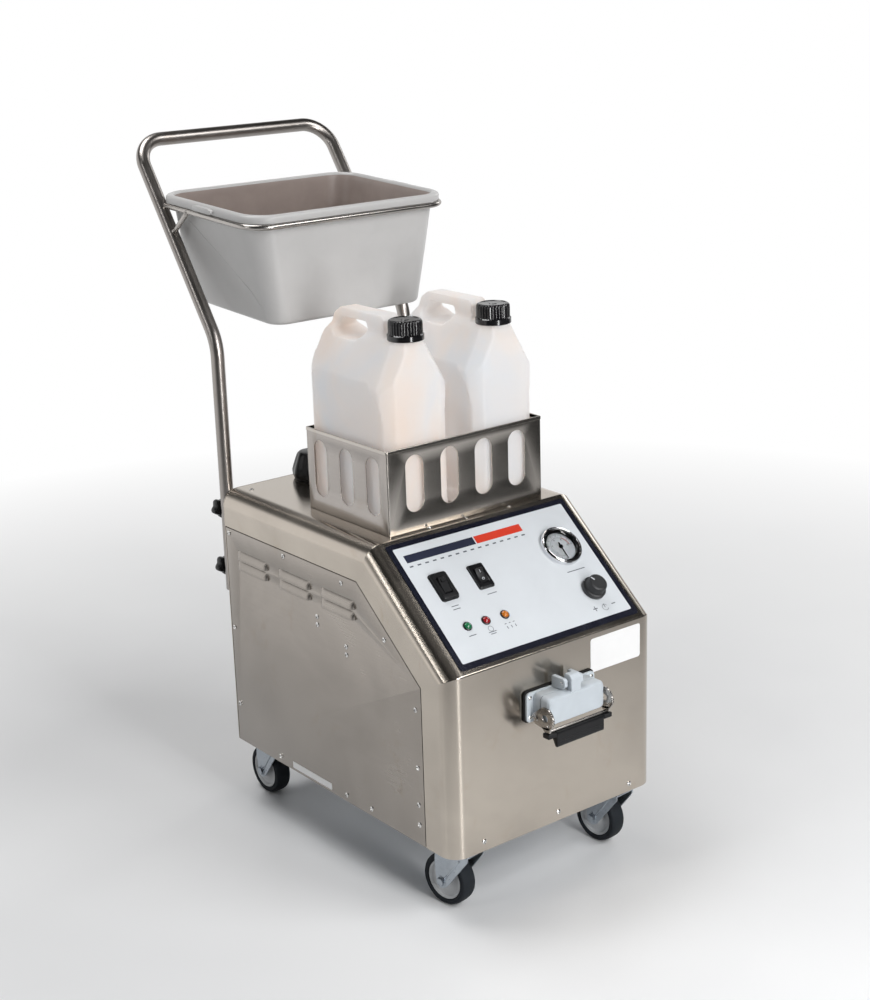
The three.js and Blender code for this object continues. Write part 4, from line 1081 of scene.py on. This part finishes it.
B = -161                                       # the bucket's bottom, below its rim
bucket_rows = [
    (124, 111, 18, B), (129.6, 116.6, 23, B + 0.7), (132.2, 119.2, 25, B + 2.6), (133.5, 120.5, 26, B + 5.6),
    (134.8, 120.7, 26.4, B + 13), (147.5, 122.1, 30.5, -86), (160.2, 123.3, 34.7, -18), (161.6, 123.6, 35.4, -10),
    (162.6, 124.3, 36, -7.4), (164.2, 125.6, 37, -6.3), (168.4, 128.7, 39, -6.1), (169.7, 129.4, 39.8, -7.0),
    (170.1, 129.8, 40, -11.0), (170.7, 130.3, 40.6, -11.8), (171.8, 131.2, 41.4, -11.8), (172.4, 131.7, 41.9, -11.0),
    (172.5, 131.8, 42, -5.4), (172.0, 131.3, 41.6, -3.2), (170.6, 130.0, 40.6, -1.6), (168.4, 128.2, 39.2, -0.7),
    (165.6, 126.0, 37.6, -0.25), (163.4, 124.3, 36.4, -0.5), (161.6, 122.8, 35, -1.6), (160.2, 121.9, 34, -3.8),
    (157.9, 121.2, 33, -12), (145.5, 119.9, 28.5, -86), (132.4, 118.3, 24.4, B + 13), (130.6, 117.6, 23.5, B + 6.6),
    (128.6, 115.8, 22, B + 3.8), (125.4, 112.6, 19, B + 2.8), (121, 108, 16, B + 2.6),
]
shell = loft([bucket_ring_at(*row) for row in bucket_rows])


def lug(sx):
    """Grip bar on the rim's side, its front end a small hexagon."""
    block = prism(filleted([(-27, -10.4), (20, -10.4), (20, -4.2), (15, -2.6), (-22, -2.6), (-27, -4.2)], 1.4, 4),
                  170.6, 177.6, 0.7)
    tip = moved(prism(hexagon(3.1), 0, 3, 0.4), at(sx * 174.2, -26, -6.8) @ TO_FRONT)
    return joined(moved(block, sideways(sx)), tip)


def rib(sx):
    """Thin raised line down the side wall, from the brace to the lower front corner."""
    low_x, high_x, low_z, high_z = 133.5, 160.2, B + 5.6, -18
    out = []
    for y, z in ((62, -34), (-20, -82), (-72, -116), (-92, -136), (-108, -150)):
        wall_x = low_x + (high_x - low_x) * (z - low_z) / (high_z - low_z)
        out.append(Vector((sx * (wall_x - (0 if y > -95 else 6)), y, z)))
    smooth = []
    for a, b in zip(out, out[1:]):
        smooth += [a.lerp(b, t / 6) for t in range(6)]
    return tube(smooth + [out[-1]], 0.75, 8, 0, 0.3)


bucket = make("bucket_shell", joined(shell, lug(-1), lug(1), rib(-1), rib(1)), [BUCKET_GREY, BUCKET_INSIDE_PAINTED_SHADE], "bucket",
              "bucket", BUCKET, angle=50)
# The inside walls and floor get the darker plastic copy: painted shade.
around = len(bucket_ring_at(*bucket_rows[0]))
for face in bucket.data.polygons[23 * around:len(shell[1])]:
    face.material_index = 1
bucket.data.polygons[len(shell[1]) - 2].material_index = 0

# ---------------------------------------------------------------- connector
IX, IZ = 2, 283                                # the connector's middle


def on_front(outline_part, y):
    """A part drawn in (x, z) about the connector's middle, its w = 0 at the given y and pointing out."""
    return moved(outline_part, at(IX, y, IZ) @ TO_FRONT)


def ring_plate(hx, hz, r, wx, wz, wr, thick, edge):
    outer = ((-edge, 0), (0, edge), (0, thick - edge), (-edge * 0.3, thick - edge * 0.3), (-edge, thick))
    well = ((edge, thick), (0, thick - edge), (0, edge), (edge, 0))
    return loft([at_height(rounded_rect(ax + grow, az + grow, max(0.3, ar + grow), 6), h)
                 for (ax, az, ar), sizes in (((hx, hz, r), outer), ((wx, wz, wr), well)) for grow, h in sizes],
                around=True)


make("connector_gasket", on_front(ring_plate(62.5, 22.5, 6, 43, 14.5, 2, 2.9, 0.6), -0.1), RUBBER, "chassis",
     "inlet_gasket")
ear = filleted([(6.6, 301.9), (22, 304.1), (29.2, 306.1), (32.7, 309.6), (32.7, 316.9), (29.9, 319.7), (8.3, 319.7),
                (6.6, 317.8)], 1.4, 4)


def ear_at(x):
    return moved(prism(ear, x - 3, x + 3, 0.6), at(IX, 0, 0) @ LEFTWARD)


housing = [on_front(ring_plate(61, 21, 6, 44, 13.5, 3, 3.7, 0.8), -3.2),
           on_front(ring_plate(50, 19.5, 6, 44, 13.5, 3, 14.6, 1.0), -6.4), ear_at(-14), ear_at(14)]
make("connector_housing", joined(*housing), CAST, "chassis", "inlet_housing", angle=28, weighted=True)
pin_way = Matrix(((0, 0, 1, IX), (0, 1, 0, -27), (-1, 0, 0, 313), (0, 0, 0, 1)))
make("hinge_pin", moved(lathe([(0, -17.6), (1.6, -17.6), (2, -17.2), (2, 17.2), (1.6, 17.6), (0, 17.6)], 24), pin_way),
     SCREW, "chassis")
screws("connector_screws", [at(IX + x, -6.8, IZ + z) @ TO_FRONT
                            for x in (-55.3, 55.3) for z in (-14.2, 14.2)], part=pan_head(3.0, 1.5, 20))
contacts = [on_front(prism(rounded_rect(41, 12.5, 3, 4), 0, 16, 0.5), -1.2)]
contacts += [on_front(moved(lathe([(1.5, 0), (2.4, 0), (2.4, 1.2), (1.5, 1.2)], 16), at(x, z, 16)), -1.2)
             for x in range(-35, 36, 10) for z in (-6, 6)]
make("socket_block", joined(*contacts), BLACK, "chassis", "inlet_socket")
make("connector_seal", on_front(ring_plate(49.4, 19, 5.6, 45.4, 15, 3, 1.1, 0.3), -20.9), RUBBER, "inlet_lid", None)


def lid_part():
    """Hood closed at the front, chamfered round its face, hollow behind, with the hinge arm on top."""
    rows = [(50, 19.5, 6.5, 22.1), (50, 19.5, 6.5, 33.4), (49.7, 19.25, 6.5, 34.8), (48.6, 18.4, 6.2, 37.0),
            (47.9, 17.9, 6, 37.8), (47, 17.2, 5.6, 38.3), (46, 16.5, 5.2, 38.4)]
    inner = [(44.4, 14.0, 4, 34.2), (45, 14.5, 4, 32.8), (45.4, 14.9, 4, 22.1)]

    def rings(sizes):
        return [[(IX + x, -y, IZ + z) for x, z in rounded_rect(hx, hz, r, 7)] for hx, hz, r, y in sizes]

    outer, inside = loft(rings(rows), (False, True)), loft(rings(inner), (True, False))
    n = len(rounded_rect(1, 1, 0.5, 7))
    verts, faces = joined(outer, inside)
    last_row = len(outer[0]) + 2 * n
    faces += [(i, (i + 1) % n, last_row + (i + 1) % n, last_row + i) for i in range(n)]
    arm = filleted([(36.8, 290.5), (37.2, 304), (37.2, 319.8), (32.9, 324.7), (23.2, 324.7), (21.8, 317), (22.8, 305.1),
                    (30, 302.8), (30, 290.5)], [0.6, 3, 3, 2.5, 2.5, 2, 1.4, 1.4, 0.6], 5)
    return joined((verts, faces), moved(prism(arm, -8.6, 8.6, 0.7), at(IX, 0, 0) @ LEFTWARD))


make("connector_lid", lid_part(), CAST, "inlet_lid", "inlet_lid", angle=30, weighted=True)

PIVOT, HOOK = (-18, 271), (-36, 276)


def lever_side(x0, x1):
    """Pressed side plate: a toothed round over the lid's side, drawn in to its pivot, and an arm down to the bar."""
    lean = atan2(PIVOT[1] - HOOK[1], PIVOT[0] - HOOK[0])
    open_by = acos((15.7 - 8.3) / hypot(PIVOT[0] - HOOK[0], PIVOT[1] - HOOK[1]))
    points = []
    for k in range(73):
        t = lean + open_by + (2 * pi - 2 * open_by) * k / 72
        r = 15.55 + 0.35 * cos(pi * k / 2)
        points.append((HOOK[0] + r * cos(t), HOOK[1] + r * sin(t)))
    for k in range(17):
        t = lean - open_by + 2 * open_by * k / 16
        points.append((PIVOT[0] + 8.3 * cos(t), PIVOT[1] + 8.3 * sin(t)))
    way = at(IX, 0, 0) @ TO_RIGHT
    hole = [(HOOK[0] + 1 + 5.4 * cos(t * EIGHTEENTH), HOOK[1] + 0.6 + 4.8 * sin(t * EIGHTEENTH)) for t in range(18)]
    notch = [(HOOK[0] - 5.6 + 2.0 * cos(t * TWELFTH), HOOK[1] - 8.6 + 2.0 * sin(t * TWELFTH)) for t in range(12)]
    side_plate = plate(points, [hole, notch], x1 - x0, 0.35)
    arm = filleted([(-28, 263), (-45.2, 265.4), (-44.3, 257.2), (-33.2, 257.2)], 1.2, 4)
    return [moved(side_plate, way @ at(0, 0, x0)), moved(prism(arm, x0, x1, 0.35), way)]


lever_parts = [*lever_side(-54.5, -51.7), *lever_side(51.7, 54.5),
               slab(IX - 54.4, IX + 54.4, -41.5, -38.6, 257.1, 260, 0.4, 0.8)]
for sx in (-1, 1):
    way = Matrix(((0, 0, sx, IX + sx * 50.4), (-sx, 0, 0, PIVOT[0]), (0, 1, 0, PIVOT[1]), (0, 0, 0, 1)))
    lever_parts.append(moved(lathe([(0, 0), (3.4, 0), (3.4, 4.6), (2.8, 5.4), (0, 5.8)], 24), way))
make("lever_plates", joined(*lever_parts), STEEL_WIRE, "inlet_lever", "inlet_lever", angle=35)
bar = filleted([(33.3, 256.7), (33.3, 250.4), (37, 243), (41.4, 234.8), (45, 234.8), (45.8, 237.5), (45.6, 254),
                (44.4, 256.7)], 1.4, 5)
grip = [slab(x, x + 15.0, -45.6, -33.2, 250, 256.4, 0.7, 1.5) for x in (IX - 57.4, IX + 42.4)]
grip.append(moved(prism(bar, -42.4, 42.4, 0.9), at(IX, 0, 0) @ LEFTWARD))
grip += [slab(IX - 38, IX + 38, -46, -45.2, z, z + 1.0, 0.2, 0.4) for z in (238.5, 241.5, 244.5)]
make("lever_grip", joined(*grip), BLACK, "inlet_lever", "inlet_lever_grip", angle=28, weighted=True)

# ---------------------------------------------------------------- casters
TRAIL, AXLE_Z = 25, 37.5
CASTERS = (("front_left", -138, 38, -10), ("front_right", 138, 36, -5), ("rear_left", -138, 488, 0),
           ("rear_right", 138, 488, 8))
slots = [rounded_rect(5.4, 3.3, 3.2, 5, sx * 22, sy * 21.5) for sx in (-1, 1) for sy in (-1, 1)]
top_plate = joined(
    moved(plate(rounded_rect(31, 30, 6, 6), slots, 2.6, 0.4), at(0, 0, 94.0)),
    lathe([(0, 94.2), (21, 94.2), (21.6, 93.4), (20.8, 91.2), (18.4, 90.2), (18, 88.7), (0, 88.7)], 56),
)


def leg_sheet():
    """Side of the fork as a flat outline, drawn in (y, z)."""
    return filleted([(-22.5, 87.6), (-23, 81), (14, 33), (21, 27.6), (29.5, 27.6), (33.6, 33.5), (36.5, 62),
                     (35, 87.6)],
                    [1, 8, 6, 6, 6, 6, 12, 1], 6)


def fork_part():
    parts = [loft([at_height(rounded_rect(18, 29, 5, 6, 0, 6), z) for z in (85.7, 87.6)]),
             lathe([(0, 85.2), (20.4, 85.2), (20.8, 86.4), (19.6, 88.0), (0, 88.2)], 56)]
    for sx in (-1, 1):
        x0, x1 = (15.4, 17.9) if sx > 0 else (-17.9, -15.4)
        parts.append(moved(prism(leg_sheet(), x0, x1, 0.5), TO_RIGHT))
        parts.append(tube(route([(sx * 17.7, -8, 78), (sx * 17.7, 17, 45)], []), 1.5, 12, 0, 0.8))
    bolt = at(0, TRAIL, AXLE_Z) @ TO_RIGHT
    parts.append(moved(lathe([(0, -18), (4, -18), (4, 18), (0, 18)], 24), bolt))
    for a, b in ((-21.4, -18.7), (18.7, 21.4)):
        parts.append(moved(prism(hexagon(6.2), a, b, 0.6), bolt))
    for a, b in ((-18.8, -17.8), (17.8, 18.8)):
        parts.append(moved(lathe([(0, a), (7.6, a), (7.9, a + 0.3), (7.6, b), (0, b)], 32), bolt))
    return joined(*parts)


def wheel_part():
    disc = [(4.4, -14.5), (8.4, -14.5), (9.4, -13.8), (10.2, -9.8), (13, -8.2), (20.5, -7.4), (23.4, -8.2),
            (24.6, -10.2),
            (26.2, -11.2), (28, -11.2), (28.2, -10.6), (28.2, 10.6), (28, 11.2), (26.2, 11.2), (24.6, 10.2),
            (23.4, 8.2),
            (20.5, 7.4), (13, 8.2), (10.2, 9.8), (9.4, 13.8), (8.4, 14.5), (4.4, 14.5)]
    return lathe(disc, 72)


def tyre_part():
    half = [(28.3, 11.0), (28.9, 12.2), (30.2, 12.6), (31.4, 12.5), (31.9, 11.9), (32.5, 11.9), (33.1, 12.3),
            (34.2, 12.2),
            (35.6, 11.4), (36.6, 10.0), (37.15, 7.6), (37.4, 4.6), (37.5, 1.6)]
    return lathe([(r, -h) for r, h in half] + [(r, h) for r, h in reversed(half)], 96)


fork_mesh, wheel_mesh, tyre_mesh = fork_part(), wheel_part(), tyre_part()
for name, x, y, turn in CASTERS:
    turned = frame_at(x, y, 0, 0, radians(-turn))
    rolled = turned @ at(0, TRAIL, AXLE_Z) @ Matrix(((0, 0, 1, 0), (0, 1, 0, 0), (-1, 0, 0, 0), (0, 0, 0, 1)))
    make(f"plate_{name}", top_plate, ZINC, "chassis", f"caster_plate_{name}", at(x, y, 0))
    bolts = [at(x + sx * 22, y + sy * 21.5, 94.0) @ Matrix.Rotation(pi, 4, "X") for sx in (-1, 1) for sy in (-1, 1)]
    screws(f"plate_bolts_{name}", bolts, part=prism(hexagon(5.4), 0, 3.6, 0.5), look=ZINC)
    make(f"fork_{name}", fork_mesh, ZINC, f"caster_swivel_{name}", f"caster_fork_{name}", turned)
    make(f"hub_{name}", wheel_mesh, HUB, f"caster_roller_{name}", f"caster_wheel_{name}", rolled,
         angle=40)
    make(f"tyre_{name}", tyre_mesh, TYRE, f"caster_roller_{name}", f"caster_tyre_{name}", rolled, angle=60)

# ---------------------------------------------------------------- pieces kept as they are
KEPT = {
    "base_plate": ZINC, "inner_frame": ZINC, "boiler": BOILER, "water_tank": TANK, "pump": PUMP,
    "electrical_box": BOX_GREY, "steam_pipe": COPPER,
}
for node, look in KEPT.items():
    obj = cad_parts[node]
    obj.data.materials.clear()
    obj.data.materials.append(look)
    for slot_ in obj.material_slots:
        slot_.material = look

# ---------------------------------------------------------------- floor, light and camera
def floor_look():
    """Pale sweep: lit near the machine, white far off. What the steel mirrors of it falls off towards the front."""
    look = Look("floor", Roughness=0.38, Specular_IOR_Level=0.3)
    cloud = look.noise(1.4, 3, 0.5)
    look.color(look.ramp(cloud, [(0.3, (0.77, 0.775, 0.785)), (0.7, (0.84, 0.845, 0.85))]))
    length = look.node("VectorMath", operation="LENGTH")
    split = look.node("SeparateXYZ")
    look.link(look.coord, length.inputs[0]).link(look.coord, split.inputs[0])
    far = look.span(length.outputs["Value"], 0.0, 1.0, 0.65, 2.1)
    depth = look.span(split.outputs["Y"], 0.04, 1.0, -0.9, 0.7)
    seen = look.node("LightPath").outputs["Is Camera Ray"]
    glow = look.node("Emission")
    glow.inputs["Color"].default_value = (1, 1, 1, 1)
    look.link(look.add(depth, seen, "MAXIMUM"), glow.inputs["Strength"])
    blend = look.node("MixShader")
    out = next(n for n in look.tree.nodes if n.type == "OUTPUT_MATERIAL")
    look.link(far, blend.inputs[0]).link(look.bsdf.outputs[0], blend.inputs[1]).link(glow.outputs[0], blend.inputs[2])
    look.link(blend.outputs[0], out.inputs["Surface"])
    return look.mat


disc = bpy.data.meshes.new("floor")
rim = [(14 * cos(pi * k / 36), 14 * sin(pi * k / 36), 0) for k in range(72)]
disc.from_pydata(rim, [], [tuple(range(72))])
disc.materials.append(floor_look())
floor = bpy.data.objects.new("floor", disc)
bpy.context.scene.collection.objects.link(floor)

world = bpy.data.worlds.new("studio")
bpy.context.scene.world = world
world.use_nodes = True
studio = Nodes(world.node_tree)
split = studio.node("SeparateXYZ")
studio.link(studio.node("TexCoord").outputs["Generated"], split.inputs[0])

# The room: a white backdrop behind, dark above and behind the camera. The camera itself sees it white all round.
behind = studio.span(split.outputs["Y"], 0.05, 1.0, 0.22, 0.62, "SMOOTHSTEP")
below = studio.span(split.outputs["Z"], 1.0, 0.05, 0.36, 0.48, "SMOOTHSTEP")
backdrop = studio.add(behind, below, "MULTIPLY")
back = studio.tree.nodes["Background"]
studio.link(studio.add(backdrop, studio.node("LightPath").outputs["Is Camera Ray"], "MAXIMUM"), back.inputs["Strength"])
back.inputs["Color"].default_value = (1, 1, 1, 1)


def softbox(name, place, target, size, power):
    light = bpy.data.lights.new(name, "AREA")
    light.shape = "RECTANGLE"
    light.size, light.size_y = size
    light.energy = power
    obj = bpy.data.objects.new(name, light)
    bpy.context.scene.collection.objects.link(obj)
    obj.location = place
    obj.rotation_euler = (Vector(target) - Vector(place)).to_track_quat("-Z", "Y").to_euler()
    obj.visible_camera = False


softbox("key", (1.1, -2.3, 2.5), (0, -0.1, 0.5), (1.5, 1.3), 41)
softbox("front_strip", (-0.15, -2.2, 0.95), (0, 0, 0.4), (0.3, 1.7), 32)
softbox("left_strip", (-2.5, 0.1, 1.7), (0, 0, 0.4), (0.16, 1.7), 7)
softbox("top_light", (-0.5, 0.9, 3.3), (0, 0, 0.4), (1.6, 1.4), 50)
softbox("right_light", (2.9, 0.4, 1.9), (0, 0, 0.5), (0.9, 1.4), 12)

YAW, PITCH, ROLL = radians(-37.7), radians(-17.2), radians(-1.8)
forward = Vector((-sin(YAW) * cos(PITCH), cos(YAW) * cos(PITCH), sin(PITCH)))
right = Vector((cos(YAW), sin(YAW), 0))
up = right.cross(forward)
x_axis = right * cos(ROLL) + up * sin(ROLL)
y_axis = up * cos(ROLL) - right * sin(ROLL)
lens = bpy.data.cameras.new("camera")
lens.sensor_width = 36
lens.lens = 64.28
lens.clip_start, lens.clip_end = 0.05, 100
camera = bpy.data.objects.new("camera", lens)
bpy.context.scene.collection.objects.link(camera)
turn = Matrix((x_axis, y_axis, -forward)).transposed().to_4x4()
camera.matrix_world = Matrix.Translation(Vector((-1474.9, -1654.8 + FRONT, 1247.6)) * MM) @ turn
bpy.context.scene.camera = camera
bpy.context.scene.view_settings.view_transform = "Standard"
